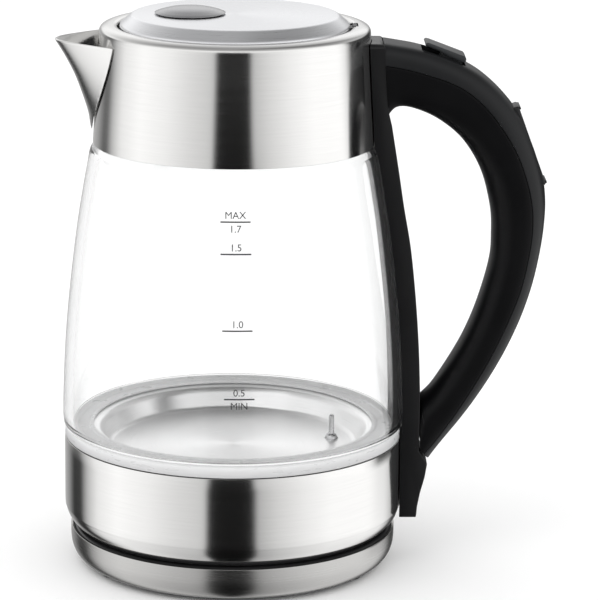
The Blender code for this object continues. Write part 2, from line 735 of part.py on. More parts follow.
def make_handle_body():
    body = handle_blank("handle_body")
    boolean(body, seam_cutter("seam_outside", True))
    for cutter in handle_pockets("body"):
        boolean(body, cutter)
    return finish_part(body, "black_plastic")


def make_handle_cover():
    cover = handle_blank("handle_cover")
    boolean(cover, seam_cutter("seam_inside", False))
    for cutter in handle_pockets("cover"):
        boolean(cover, cutter)
    return finish_part(cover, "black_plastic")


def make_switch():
    rocker = box("power_switch", SWITCH_SIZE, switch_place(SWITCH_SIZE[2] / 2), SWITCH_SLOPE)
    bevel(rocker, 1.2)
    return finish_part(rocker, "black_plastic")


def make_switch_module():
    module = box("switch_module", (18.0, 9.0, 7.0), switch_place(12.0), SWITCH_SLOPE)
    bevel(module, 0.6, 1)
    return finish_part(module, "white_plastic")


def make_button():
    button = box("lid_button", BUTTON_SIZE, button_place(BUTTON_SIZE[2] / 2), BUTTON_SLOPE)
    bevel(button, 1.6)
    return finish_part(button, "black_plastic")


def make_latch():
    latch = box("lid_latch", LATCH_SIZE, LATCH_CENTRE)
    bevel(latch, 0.5, 1)
    return finish_part(latch, "grey_plastic")


def make_wires():
    """Two sheathed wires from the control unit, up behind the spine and over to the switch."""
    wires = []
    for name, side, finish in (("switch_wire_live", 2.0, "red_sheath"), ("switch_wire_return", -2.0, "blue_sheath")):
        rise = [(body_radius(height) + 2.2, side, height) for height in range(52, 215, 12)]
        start = [(22.6, side, 40.0), (45.0, side, 40.0), (68.0, side, 39.0), (75.0, side, 39.2), (78.0, side, 42.5)]
        over = [(x, side * 0.8, z) for x, z in WIRE_WAY[1:-2]] + [(113.4, side * 0.8, 201.2)]
        turn = [(63.6, side, 219.0)]
        path = smooth(start + rise + turn + over, 1)
        wires.append(finish_part(tube(name, path, 0.8, 1), finish))
    return wires


# ---------------------------------------------------------------- lid

def make_lid_cover():
    cover = turned("lid_cover", [
        (0.0, LID_TOP), (LID_FLAT_R, LID_TOP), (LID_R, LID_EDGE_Z), (LID_R, 240.8), (LID_R - SHEET, 240.8),
        (LID_R - SHEET, LID_EDGE_Z - 0.3), (LID_FLAT_R - 0.4, LID_TOP - SHEET), (0.0, LID_TOP - SHEET)])
    boolean(cover, box("lid_arm_notch", (6.0, 9.2, 9.0), (51.0, 0.0, 241.0)))
    boolean(cover, cylinder("knob_screw_way", 2.0, 240.0, 260.0, (KNOB_X, 0.0)))
    return finish_part(cover, "brushed_steel")


def make_lid_liner():
    """The plastic plug under the lid, with the arm that holds the hinge barrel."""
    liner = turned("lid_liner", [
        (0.0, 243.4), (49.6, 243.4), (49.6, 240.4), (47.4, 240.4), (47.4, 235.2), (0.0, 235.2)])
    boolean(liner, box("lid_arm", (5.6, 8.0, 2.2), (50.6, 0.0, 243.3)), "UNION")
    boolean(liner, cross_rod("lid_barrel", 1.9, 4.4, LID_AXIS), "UNION")
    boolean(liner, cross_rod("lid_barrel_bore", 1.15, 12.0, LID_AXIS))
    boolean(liner, cylinder("liner_screw_way", 1.5, 238.0, 250.0, (KNOB_X, 0.0)))
    return finish_part(liner, "black_plastic")


def make_lid_seal():
    seal = turned("lid_seal", [(49.7, 239.4), (49.7, 237.4), (47.7, 236.6), (47.7, 240.0)])
    return finish_part(seal, "silicone")


def make_knob():
    knob = turned("lid_knob", [
        (0.0, KNOB_TOP), (5.0, KNOB_TOP - 0.12), (10.0, KNOB_TOP - 0.75), (14.2, KNOB_TOP - 1.9),
        (KNOB_R, KNOB_TOP - 2.5), (KNOB_R - 0.5, KNOB_TOP - 2.9), (0.0, KNOB_TOP - 2.2)], MID_STEPS)
    knob.location = (KNOB_X * MM, 0.0, 0.0)
    return finish_part(knob, "polished_steel")


def make_knob_screw():
    screw = turned("knob_screw", [(0.0, 248.6), (1.2, 248.6), (1.2, 239.4), (0.0, 239.4)], SMALL_STEPS)
    screw.location = (KNOB_X * MM, 0.0, 0.0)
    return finish_part(screw, "polished_steel")


# ---------------------------------------------------------------- assembly

def build_kettle():
    base = [make_base_skirt(), make_base_deck(), make_base_underside(), make_cord_gland(),
            make_connector_spigot()]
    base += make_feet() + make_base_screws() + make_base_contacts()
    ring = make_swivel_ring()
    jug = [make_jug_base_cover(), make_jug_connector(), make_control_unit(), make_snap_disc(),
           make_jug_band(), make_heating_plate(), make_heat_spreader(), make_heating_element(),
           make_sensor_probe(), make_seal_ring(), make_glass_body(), make_top_collar(), make_neck_seal(),
           make_rim_liner(), make_hinge_pin(), make_spout_filter(), make_spout(), make_handle_spine(),
           make_handle_body(), make_handle_cover(), make_switch_module()]
    jug += make_jug_base_screws() + make_jug_contacts() + make_wires()
    lid = [make_lid_cover(), make_lid_liner(), make_lid_seal(), make_knob(), make_knob_screw()]

    base_root = joint_empty("base_root", (0.0, 0.0, 0.0))
    swivel = joint_empty("jug_swivel_axis", (0.0, 0.0, DECK_TOP), base_root)
    lift = joint_empty("jug_lift_axis", (0.0, 0.0, DECK_TOP), swivel)
    hinge = joint_empty("lid_hinge_axis", LID_AXIS, lift)
    rocker_axis = joint_empty("power_switch_axis", switch_place(SWITCH_SIZE[2]), lift)
    button_axis = joint_empty("lid_button_axis", BUTTON_CENTRE, lift)
    latch_axis = joint_empty("lid_latch_axis", LATCH_CENTRE, lift)
    for part in base:
        attach(part, base_root)
    attach(ring, swivel)
    for part in jug:
        attach(part, lift)
    for part in lid:
        attach(part, hinge)
    attach(make_switch(), rocker_axis)
    attach(make_button(), button_axis)
    attach(make_latch(), latch_axis)


clear_scene()
PARTS = new_collection("electric_kettle")
CUTTERS = new_collection("cutters")
build_kettle()
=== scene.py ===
import math

import bpy
from mathutils import Matrix, Vector


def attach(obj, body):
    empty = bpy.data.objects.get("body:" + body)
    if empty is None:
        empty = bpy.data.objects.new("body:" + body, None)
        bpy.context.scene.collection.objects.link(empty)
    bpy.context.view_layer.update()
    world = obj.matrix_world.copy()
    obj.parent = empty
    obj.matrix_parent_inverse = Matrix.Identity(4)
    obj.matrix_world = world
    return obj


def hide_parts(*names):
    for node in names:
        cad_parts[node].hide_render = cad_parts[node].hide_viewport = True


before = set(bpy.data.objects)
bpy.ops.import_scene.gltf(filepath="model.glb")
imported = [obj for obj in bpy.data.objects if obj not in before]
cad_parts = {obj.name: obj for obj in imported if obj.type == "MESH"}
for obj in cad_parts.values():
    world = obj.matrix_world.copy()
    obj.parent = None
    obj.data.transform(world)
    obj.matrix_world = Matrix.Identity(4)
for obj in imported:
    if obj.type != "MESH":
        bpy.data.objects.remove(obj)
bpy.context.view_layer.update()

mm = 0.001


# helpers for making meshes

def startFresh():
    if bpy.context.object and bpy.context.object.mode != "OBJECT":
        bpy.ops.object.mode_set(mode="OBJECT")
    bpy.ops.object.select_all(action="DESELECT")


def pick(obj):
    startFresh()
    obj.select_set(True)
    bpy.context.view_layer.objects.active = obj


def flowLine(points, perSpan=5):  # a smooth line through all the points
    ends = [points[0]] + list(points) + [points[-1]]
    line = []
    for before, start, stop, after in zip(ends, ends[1:], ends[2:], ends[3:]):
        for i in range(perSpan):
            t = i / perSpan
            line.append(tuple(
                0.5 * (2 * b + (c - a) * t + (2 * a - 5 * b + 4 * c - d) * t ** 2
                       + (3 * b - a - 3 * c + d) * t ** 3)
                for a, b, c, d in zip(before, start, stop, after)))
    line.append(tuple(points[-1]))
    return line


def softCorners(points, radius, closed=True, steps=3):  # trims every corner to a small arc
    count = len(points)
    line = []
    for i, point in enumerate(points):
        if not closed and i in (0, count - 1):
            line.append(point)
            continue
        here = Vector(point)
        before = Vector(points[i - 1]) - here
        after = Vector(points[(i + 1) % count]) - here
        if before.length < 1e-6 or after.length < 1e-6 or before.angle(after) > math.radians(172):
            line.append(point)
            continue
        reach = min(radius, 0.42 * before.length, 0.42 * after.length)
        first = here + before.normalized() * reach
        last = here + after.normalized() * reach
        for step in range(steps + 1):
            t = step / steps
            line.append(tuple(first * (1 - t) ** 2 + here * 2 * t * (1 - t) + last * t ** 2))
    return line


def wireProfile(name, points, closed):  # a line of edges in the XZ plane, drawn point by point
    startFresh()
    bpy.ops.mesh.primitive_plane_add(size=0.001, location=(0, 0, 0))
    obj = bpy.context.object
    obj.name = name
    bpy.ops.object.mode_set(mode="EDIT")
    bpy.ops.mesh.select_all(action="SELECT")
    bpy.ops.mesh.merge(type="CENTER")
    last = points[0]
    bpy.ops.transform.translate(value=(last[0] * mm, 0, last[1] * mm))
    for point in list(points[1:]) + ([points[0]] if closed else []):
        step = ((point[0] - last[0]) * mm, 0, (point[1] - last[1]) * mm)
        bpy.ops.mesh.extrude_vertices_move(TRANSFORM_OT_translate={"value": step})
        last = point
    bpy.ops.mesh.select_all(action="SELECT")
    bpy.ops.mesh.remove_doubles(threshold=1e-6)
    return obj


def turn(name, points, closed=True, steps=128, at=(0, 0), angle=32):  # spins a profile round an upright axis
    obj = wireProfile(name, points, closed)
    bpy.ops.mesh.spin(steps=steps, angle=math.tau, center=(0, 0, 0), axis=(0, 0, 1))
    bpy.ops.mesh.select_all(action="SELECT")
    bpy.ops.mesh.remove_doubles(threshold=2e-6)
    bpy.ops.mesh.normals_make_consistent(inside=False)
    bpy.ops.transform.translate(value=(at[0] * mm, at[1] * mm, 0))
    bpy.ops.object.mode_set(mode="OBJECT")
    smoothBy(obj, angle)
    return obj


def smoothBy(obj, angle=32):
    pick(obj)
    bpy.ops.object.shade_smooth_by_angle(angle=math.radians(angle))


def plate(name, outline, halfWidth):  # fills an outline in XZ and extrudes it both ways along Y
    obj = wireProfile(name, outline, True)
    bpy.ops.mesh.edge_face_add()
    bpy.ops.transform.translate(value=(0, -halfWidth * mm, 0))
    bpy.ops.mesh.extrude_region_move(TRANSFORM_OT_translate={"value": (0, 2 * halfWidth * mm, 0)})
    bpy.ops.mesh.select_all(action="SELECT")
    bpy.ops.mesh.normals_make_consistent(inside=False)
    bpy.ops.object.mode_set(mode="OBJECT")
    return obj


def block(name, size, centre, slope=0.0):  # a box, turned about Y by slope
    startFresh()
    bpy.ops.mesh.primitive_cube_add(size=1, location=(0, 0, 0))
    obj = bpy.context.object
    obj.name = name
    place = Matrix.Translation([c * mm for c in centre]) @ Matrix.Rotation(slope, 4, "Y")
    obj.data.transform(place @ Matrix.Diagonal([s * mm for s in size] + [1]))
    return obj


def rod(name, radius, start, stop, sides=48):  # a cylinder between two points
    startFresh()
    along = (Vector(stop) - Vector(start)) * mm
    bpy.ops.mesh.primitive_cylinder_add(vertices=sides, radius=radius * mm, depth=along.length,
                                        location=(0, 0, 0))
    obj = bpy.context.object
    obj.name = name
    turnTo = along.to_track_quat("Z", "Y").to_matrix().to_4x4()
    obj.data.transform(Matrix.Translation((Vector(start) + Vector(stop)) / 2 * mm) @ turnTo)
    return obj


def applyModifier(obj, kind, **settings):
    pick(obj)
    modifier = obj.modifiers.new(kind.lower(), kind)
    for key, value in settings.items():
        setattr(modifier, key, value)
    bpy.ops.object.modifier_apply(modifier=modifier.name)
    return obj


def roundEdges(obj, width, segments=3, angle=35):
    return applyModifier(obj, "BEVEL", width=width * mm, segments=segments, limit_method="ANGLE",
                         angle_limit=math.radians(angle), use_clamp_overlap=True)


def cut(obj, *tools, operation="DIFFERENCE"):
    for tool in tools:
        applyModifier(obj, "BOOLEAN", object=tool, operation=operation, solver="EXACT")
        bpy.data.objects.remove(tool, do_unlink=True)
    return obj


def loft(name, rings, closedRing=True, capEnds=True):  # rings of points, joined in order by bridging
    startFresh()
    made = []
    for ring in rings:
        bpy.ops.mesh.primitive_circle_add(vertices=len(ring), radius=0.01, location=(0, 0, 0))
        hoop = bpy.context.object
        for vertex, point in zip(hoop.data.vertices, ring):
            vertex.co = Vector(point) * mm
        if not closedRing:
            bpy.ops.object.mode_set(mode="EDIT")
            bpy.ops.mesh.select_all(action="DESELECT")
            bpy.ops.object.mode_set(mode="OBJECT")
            lastEdge = max(hoop.data.edges, key=lambda edge: abs(edge.vertices[0] - edge.vertices[1]))
            lastEdge.select = True
            bpy.ops.object.mode_set(mode="EDIT")
            bpy.ops.mesh.delete(type="EDGE")
            bpy.ops.object.mode_set(mode="OBJECT")
        made.append(hoop)
    startFresh()
    for hoop in made:
        hoop.select_set(True)
    bpy.context.view_layer.objects.active = made[0]
    bpy.ops.object.join()
    obj = bpy.context.object
    obj.name = name
    bpy.ops.object.mode_set(mode="EDIT")
    bpy.ops.mesh.select_all(action="SELECT")
    bpy.ops.mesh.bridge_edge_loops()
    if capEnds and closedRing:
        bpy.ops.mesh.select_all(action="DESELECT")
        bpy.ops.mesh.select_non_manifold()
        bpy.ops.mesh.edge_face_add()
    bpy.ops.mesh.select_all(action="SELECT")
    bpy.ops.mesh.remove_doubles(threshold=1e-6)
    bpy.ops.mesh.normals_make_consistent(inside=False)
    bpy.ops.object.mode_set(mode="OBJECT")
    return obj


def settle(obj, body, slotName, material, *nodes):  # finish, body, slot name (not used) and the nodes that it stands for
    obj.data.materials.clear()
    obj.data.materials.append(material)
    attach(obj, body)
    if nodes:
        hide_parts(*nodes)
    return obj


# materials

def newMaterial(name, **values):
    material = bpy.data.materials.new(name)
    material.use_nodes = True
    shader = material.node_tree.nodes["Principled BSDF"]
    for key, value in values.items():
        shader.inputs[key.replace("_", " ")].default_value = value
    return material, material.node_tree, shader


def addNode(tree, kind, **settings):
    node = tree.nodes.new(kind)
    for key, value in settings.items():
        setattr(node, key, value)
    return node


def grainNoise(tree, stretch, scale, detail=3.0):  # noise on Object coordinates, stretched by a Mapping node
    spot = addNode(tree, "ShaderNodeTexCoord")
    mapping = addNode(tree, "ShaderNodeMapping")
    mapping.inputs["Scale"].default_value = stretch
    noise = addNode(tree, "ShaderNodeTexNoise")
    noise.inputs["Scale"].default_value = scale
    noise.inputs["Detail"].default_value = detail
    tree.links.new(spot.outputs["Object"], mapping.inputs["Vector"])
    tree.links.new(mapping.outputs["Vector"], noise.inputs["Vector"])
    return noise


def ramp(tree, source, stops):
    node = addNode(tree, "ShaderNodeValToRGB")
    elements = node.color_ramp.elements
    elements.remove(elements[1])
    elements[0].position = stops[0][0]
    elements[0].color = (*stops[0][1], 1)
    for place, colour in stops[1:]:
        elements.new(place).color = (*colour, 1)
    tree.links.new(source, node.inputs["Fac"])
    return node


def bumpOn(tree, shader, source, strength, distance):
    bump = addNode(tree, "ShaderNodeBump")
    bump.inputs["Strength"].default_value = strength
    bump.inputs["Distance"].default_value = distance
    tree.links.new(source, bump.inputs["Height"])
    tree.links.new(bump.outputs["Normal"], shader.inputs["Normal"])
    return bump


def grey(value):
    return (value, value, value)


steelLook = {"colour": (0.78, 0.775, 0.765), "roughness": 0.14, "lines": 3200.0, "bump": 0.012,
             "stretch": 0.55}


def brushedSteel(name, colour=steelLook["colour"], roughness=steelLook["roughness"], lines=steelLook["lines"],
                 bump=steelLook["bump"], centre=(0.0, 0.0), stretch=steelLook["stretch"]):
    # fine lines that run round the axis: noise that changes fast with radius and height, slowly round
    material, tree, shader = newMaterial(name, Metallic=1.0, Anisotropic=stretch, Anisotropic_Rotation=0.25)
    if stretch:
        around = addNode(tree, "ShaderNodeTangent", direction_type="RADIAL", axis="Z")
        tree.links.new(around.outputs["Tangent"], shader.inputs["Tangent"])
    spot = addNode(tree, "ShaderNodeTexCoord")
    shift = addNode(tree, "ShaderNodeMapping")
    shift.inputs["Location"].default_value = (-centre[0] * mm, -centre[1] * mm, 0)
    apart = addNode(tree, "ShaderNodeSeparateXYZ")
    flat = addNode(tree, "ShaderNodeCombineXYZ")
    length = addNode(tree, "ShaderNodeVectorMath", operation="LENGTH")
    across = addNode(tree, "ShaderNodeVectorMath", operation="NORMALIZE")
    spread = addNode(tree, "ShaderNodeVectorMath", operation="SCALE")
    spread.inputs["Scale"].default_value = 2.2  # the slow change on the way round
    radial = addNode(tree, "ShaderNodeMath", operation="MULTIPLY")
    radial.inputs[1].default_value = lines
    upright = addNode(tree, "ShaderNodeMath", operation="MULTIPLY")
    upright.inputs[1].default_value = lines
    inward = addNode(tree, "ShaderNodeCombineXYZ")
    together = addNode(tree, "ShaderNodeVectorMath", operation="ADD")
    noise = addNode(tree, "ShaderNodeTexNoise", noise_dimensions="4D")
    noise.inputs["Scale"].default_value = 1.0
    noise.inputs["Detail"].default_value = 4.0
    noise.inputs["Roughness"].default_value = 0.65
    link = tree.links.new
    link(spot.outputs["Object"], shift.inputs["Vector"])
    link(shift.outputs["Vector"], apart.inputs["Vector"])
    link(apart.outputs["X"], flat.inputs["X"])
    link(apart.outputs["Y"], flat.inputs["Y"])
    link(flat.outputs["Vector"], length.inputs[0])
    link(flat.outputs["Vector"], across.inputs[0])
    link(across.outputs["Vector"], spread.inputs[0])
    link(length.outputs["Value"], radial.inputs[0])
    link(radial.outputs["Value"], inward.inputs["Z"])
    link(spread.outputs["Vector"], together.inputs[0])
    link(inward.outputs["Vector"], together.inputs[1])
    link(apart.outputs["Z"], upright.inputs[0])
    link(together.outputs["Vector"], noise.inputs["Vector"])
    link(upright.outputs["Value"], noise.inputs["W"])
    dark = tuple(c * 0.965 for c in colour)
    light = tuple(min(c * 1.03, 1.0) for c in colour)
    tint = ramp(tree, noise.outputs["Fac"], [(0.3, dark), (0.7, light)])
    dull = ramp(tree, noise.outputs["Fac"], [(0.3, grey(roughness * 0.85)), (0.7, grey(roughness * 1.2))])
    link(tint.outputs["Color"], shader.inputs["Base Color"])
    link(dull.outputs["Color"], shader.inputs["Roughness"])
    bumpOn(tree, shader, noise.outputs["Fac"], bump, 0.0002)
    return material


def plainMetal(name, colour, roughness, scratch=0.05):
    material, tree, shader = newMaterial(name, Metallic=1.0)
    noise = grainNoise(tree, (1, 1, 1), 420.0, 5.0)
    tint = ramp(tree, noise.outputs["Fac"], [(0.3, tuple(c * 0.9 for c in colour)), (0.7, colour)])
    dull = ramp(tree, noise.outputs["Fac"], [(0.3, grey(roughness * 0.8)), (0.7, grey(roughness * 1.25))])
    tree.links.new(tint.outputs["Color"], shader.inputs["Base Color"])
    tree.links.new(dull.outputs["Color"], shader.inputs["Roughness"])
    bumpOn(tree, shader, noise.outputs["Fac"], scratch, 0.0001)
    return material


def mouldedPlastic(name, colour, roughness, grain=0.12, fineness=2600.0, specular=0.5):
    # satin moulded surface: fine spark texture, with slow patches in the gloss
    material, tree, shader = newMaterial(name, Metallic=0.0, Specular_IOR_Level=specular)
    fine = grainNoise(tree, (1, 1, 1), fineness, 2.0)
    slow = grainNoise(tree, (1, 1, 1), 38.0, 3.0)
    dark = tuple(c * 0.88 for c in colour)
    light = tuple(c * 1.08 for c in colour)
    tint = ramp(tree, slow.outputs["Fac"], [(0.3, dark), (0.7, light)])
    dull = ramp(tree, slow.outputs["Fac"], [(0.3, grey(roughness * 0.92)), (0.7, grey(roughness * 1.1))])
    tree.links.new(tint.outputs["Color"], shader.inputs["Base Color"])
    tree.links.new(dull.outputs["Color"], shader.inputs["Roughness"])
    bumpOn(tree, shader, fine.outputs["Fac"], grain, 0.00015)
    return material


def clearGlass(name):
    material, tree, shader = newMaterial(name, Roughness=0.0, IOR=1.45, Transmission_Weight=1.0)
    slow = grainNoise(tree, (1, 1, 0.5), 14.0, 1.0)
    tint = ramp(tree, slow.outputs["Fac"], [(0.3, (0.99, 0.993, 0.993)), (0.7, (0.997, 0.998, 0.998))])
    tree.links.new(tint.outputs["Color"], shader.inputs["Base Color"])
    bumpOn(tree, shader, slow.outputs["Fac"], 0.02, 0.0005)
    return material


def clearSilicone(name, colour=(0.985, 0.987, 0.992), roughness=0.34, through=0.12):
    material, tree, shader = newMaterial(name, IOR=1.41, Transmission_Weight=through)
    fine = grainNoise(tree, (1, 1, 4.0), 120.0, 3.0)
    tint = ramp(tree, fine.outputs["Fac"], [(0.3, tuple(c * 0.95 for c in colour)), (0.7, colour)])
    spot = addNode(tree, "ShaderNodeTexCoord")
    apart = addNode(tree, "ShaderNodeSeparateXYZ")
    height = addNode(tree, "ShaderNodeMapRange")
    # the ring's foot and top; painted shade darkens its colour downwards from the top to the foot
    height.inputs["From Min"].default_value = 59.0 * mm
    height.inputs["From Max"].default_value = 65.0 * mm
    depth = ramp(tree, height.outputs["Result"],
                 [(0.0, grey(0.6)), (0.45, grey(0.72)), (0.8, grey(0.86)), (0.93, grey(1.0))])
    both = addNode(tree, "ShaderNodeMix", data_type="RGBA", blend_type="MULTIPLY")
    both.inputs[0].default_value = 1.0
    tree.links.new(spot.outputs["Object"], apart.inputs["Vector"])
    tree.links.new(apart.outputs["Z"], height.inputs["Value"])
    tree.links.new(tint.outputs["Color"], both.inputs[6])
    tree.links.new(depth.outputs["Color"], both.inputs[7])
    dull = ramp(tree, fine.outputs["Fac"], [(0.3, grey(roughness * 0.7)), (0.75, grey(roughness * 1.4))])
    tree.links.new(both.outputs[2], shader.inputs["Base Color"])
    tree.links.new(dull.outputs["Color"], shader.inputs["Roughness"])
    bumpOn(tree, shader, fine.outputs["Fac"], 0.03, 0.0002)
    return material


knobAt = (-19.8, 0.0)  # the middle of the lid's knob

print("stage: materials")
steelRound = brushedSteel("steel_brushed_round")
# painted shade: a darker copy of the jug's steel, for the dimmer reflection on the skirt close to the floor
shadedSkirtSteel = brushedSteel("steel_skirt_painted_shade", colour=(0.5, 0.495, 0.485), roughness=0.24)
# painted light: a brighter, bluish copy of the steel, for the light the lid's upward face catches
litLidSteel = brushedSteel("steel_lid_top_painted_light", colour=(0.9, 0.905, 0.925), roughness=0.3, lines=2400.0,
                        bump=0.015, stretch=0.5)
# painted shade: a darker copy of the steel, for the dimmer reflection on the knob's dome
shadedKnobSteel = brushedSteel("steel_knob_painted_shade", colour=(0.4, 0.4, 0.41), roughness=0.24, centre=knobAt,
                         lines=1800.0, stretch=0.0)
steelSpout = brushedSteel("steel_spout", roughness=0.2, bump=0.03, stretch=0.0)
# painted light: a brighter copy of the steel, for the light the dish floor catches from above
litFloorSteel = brushedSteel("steel_floor_painted_light", colour=(0.94, 0.94, 0.94), roughness=0.31, lines=2600.0,
                          bump=0.02, stretch=0.7)
steelScrew = plainMetal("steel_screw", (0.55, 0.55, 0.56), 0.25)
steelSheath = plainMetal("steel_element_sheath", (0.34, 0.33, 0.31), 0.42, 0.15)
spreaderMetal = plainMetal("aluminium_spreader", (0.62, 0.63, 0.64), 0.45, 0.2)
contactBrass = plainMetal("brass_contact", (0.74, 0.52, 0.22), 0.3, 0.1)
discCopper = plainMetal("copper_disc", (0.72, 0.38, 0.24), 0.32, 0.1)
handlePlastic = mouldedPlastic("plastic_handle", (0.0035, 0.0035, 0.004), 0.36, 0.08, specular=0.13)
# painted light: the cover's black is lighter than the body's, for the light on its upward-facing side
litCoverPlastic = mouldedPlastic("plastic_handle_cover_painted_light", (0.009, 0.0095, 0.0105), 0.4, 0.12, specular=0.28)
spinePlastic = mouldedPlastic("plastic_spine", (0.007, 0.007, 0.0077), 0.3, 0.05, specular=0.3)
buttonPlastic = mouldedPlastic("plastic_button", (0.022, 0.024, 0.026), 0.38, 0.12, specular=0.4)
rockerPlastic = mouldedPlastic("plastic_rocker", (0.011, 0.0115, 0.0125), 0.4, 0.12, specular=0.32)
deckPlastic = mouldedPlastic("plastic_deck", (0.02, 0.02, 0.021), 0.34, 0.1)
throatPlastic = mouldedPlastic("plastic_throat", (0.02, 0.02, 0.021), 0.4, 0.1)
greyPlastic = mouldedPlastic("plastic_grey", (0.17, 0.17, 0.175), 0.45, 0.1)
controlPlastic = mouldedPlastic("plastic_control", (0.74, 0.72, 0.66), 0.42, 0.12)
footRubber = mouldedPlastic("rubber_foot", (0.022, 0.022, 0.022), 0.75, 0.3, 1500.0, 0.3)
wireRed = mouldedPlastic("sheath_red", (0.35, 0.03, 0.025), 0.42, 0.08)
wireBlue = mouldedPlastic("sheath_blue", (0.03, 0.07, 0.3), 0.42, 0.08)
jugGlass = clearGlass("glass_jug")
sealClear = clearSilicone("silicone_clear")
markInk = mouldedPlastic("mark_ink", (0.03, 0.03, 0.032), 0.5, 0.05)


# power base

baseDict = {
    "skirt": [(73.6, 16.9), (73.6, 12.0), (73.2, 8.6), (72.1, 5.6), (70.4, 3.4), (68.8, 2.4), (67.2, 1.8)],
    "wall": 1.2,
    "glandNotch": (9.2, 16.0, 7.2),
    "screws": (90, 210, 330),
    "screwCircle": 44.0,
    "screwHole": 1.75,
    "boss": 3.6,
}


def wallInside(outer, wall):  # the same line moved in by the wall's thickness
    inner = []
    for i, point in enumerate(outer):
        before = outer[max(i - 1, 0)]
        after = outer[min(i + 1, len(outer) - 1)]
        along = Vector((after[0] - before[0], after[1] - before[1])).normalized()
        inner.append((point[0] + along.y * wall, point[1] - along.x * wall))
    return inner[::-1]


def onCircle(radius, degrees):
    return radius * math.cos(math.radians(degrees)), radius * math.sin(math.radians(degrees))


def makeBase():
    outer = flowLine(baseDict["skirt"], 4)
    skirt = turn("skirt_shell", softCorners(outer + wallInside(outer, baseDict["wall"]), 0.25), steps=160)
    cut(skirt, block("notch", baseDict["glandNotch"], (0, 72, 8.6)))
    smoothBy(skirt)
    settle(skirt, "power_base", "brushed_steel", shadedSkirtSteel, "base_skirt")
    deck = turn("deck_ring", softCorners([
        (71.2, 17.2), (72.1, 16.5), (72.1, 13.0), (70.6, 13.0), (70.6, 15.2), (12.3, 15.2),
        (12.3, 17.2)], 0.3), steps=160)
    for angle in baseDict["screws"]:
        x, y = onCircle(baseDict["screwCircle"], angle)
        cut(deck, rod("boss", baseDict["boss"], (x, y, 4.6), (x, y, 16.0)), operation="UNION")
        cut(deck, rod("hole", baseDict["screwHole"], (x, y, 3.0), (x, y, 13.0)))
    smoothBy(deck)
    settle(deck, "power_base", "black_plastic", deckPlastic, "base_deck")
    post = turn("connector_post", softCorners([
        (10.7, 27.0), (11.5, 26.2), (11.5, 14.9), (17.0, 14.9), (17.0, 11.9), (2.6, 11.9), (2.6, 27.0),
        (5.8, 27.0), (5.8, 13.4), (8.8, 13.4), (8.8, 27.0)], 0.35), steps=96)
    settle(post, "power_base", "black_plastic", deckPlastic, "connector_spigot")
    gland = block("gland_sleeve", (8.4, 6.4, 6.4), (0, 72.6, 8.6))
    roundEdges(gland, 1.2, 5)
    cut(gland, rod("mouth", 2.6, (0, 70.6, 8.6), (0, 78.6, 8.6)))
    smoothBy(gland)
    settle(gland, "power_base", "black_plastic", deckPlastic, "cord_gland")
    ring = turn("loose_ring", softCorners([
        (13.1, 20.4), (13.1, 17.6), (11.9, 17.6), (11.9, 20.4)], 0.25), steps=96)
    settle(ring, "swivel_ring", "grey_plastic", greyPlastic, "swivel_ring")


# jug: steel band, floor, ring and glass

jugDict = {
    "band": [(76.2, 58.9), (76.2, 30.0), (75.9, 26.4), (75.0, 23.2), (73.3, 20.4)],
    "glass": [(60.4, 212.0), (61.0, 200.0), (61.2, 194.2), (61.5, 193.2), (62.2, 192.3), (63.5, 190.6),
              (64.4, 188.6), (65.4, 183.0), (67.3, 172.5), (69.8, 157.2), (72.2, 138.5), (74.1, 121.0),
              (75.6, 103.0), (76.5, 85.0), (76.9, 70.0), (76.6, 65.2)],
    "glassWall": 4.2,
    "sheet": 0.8,
    "screws": (30, 150, 270),
    "screwCircle": 52.0,
    "screwHole": 1.75,
    "probeAt": (45.2, 9.0),
}


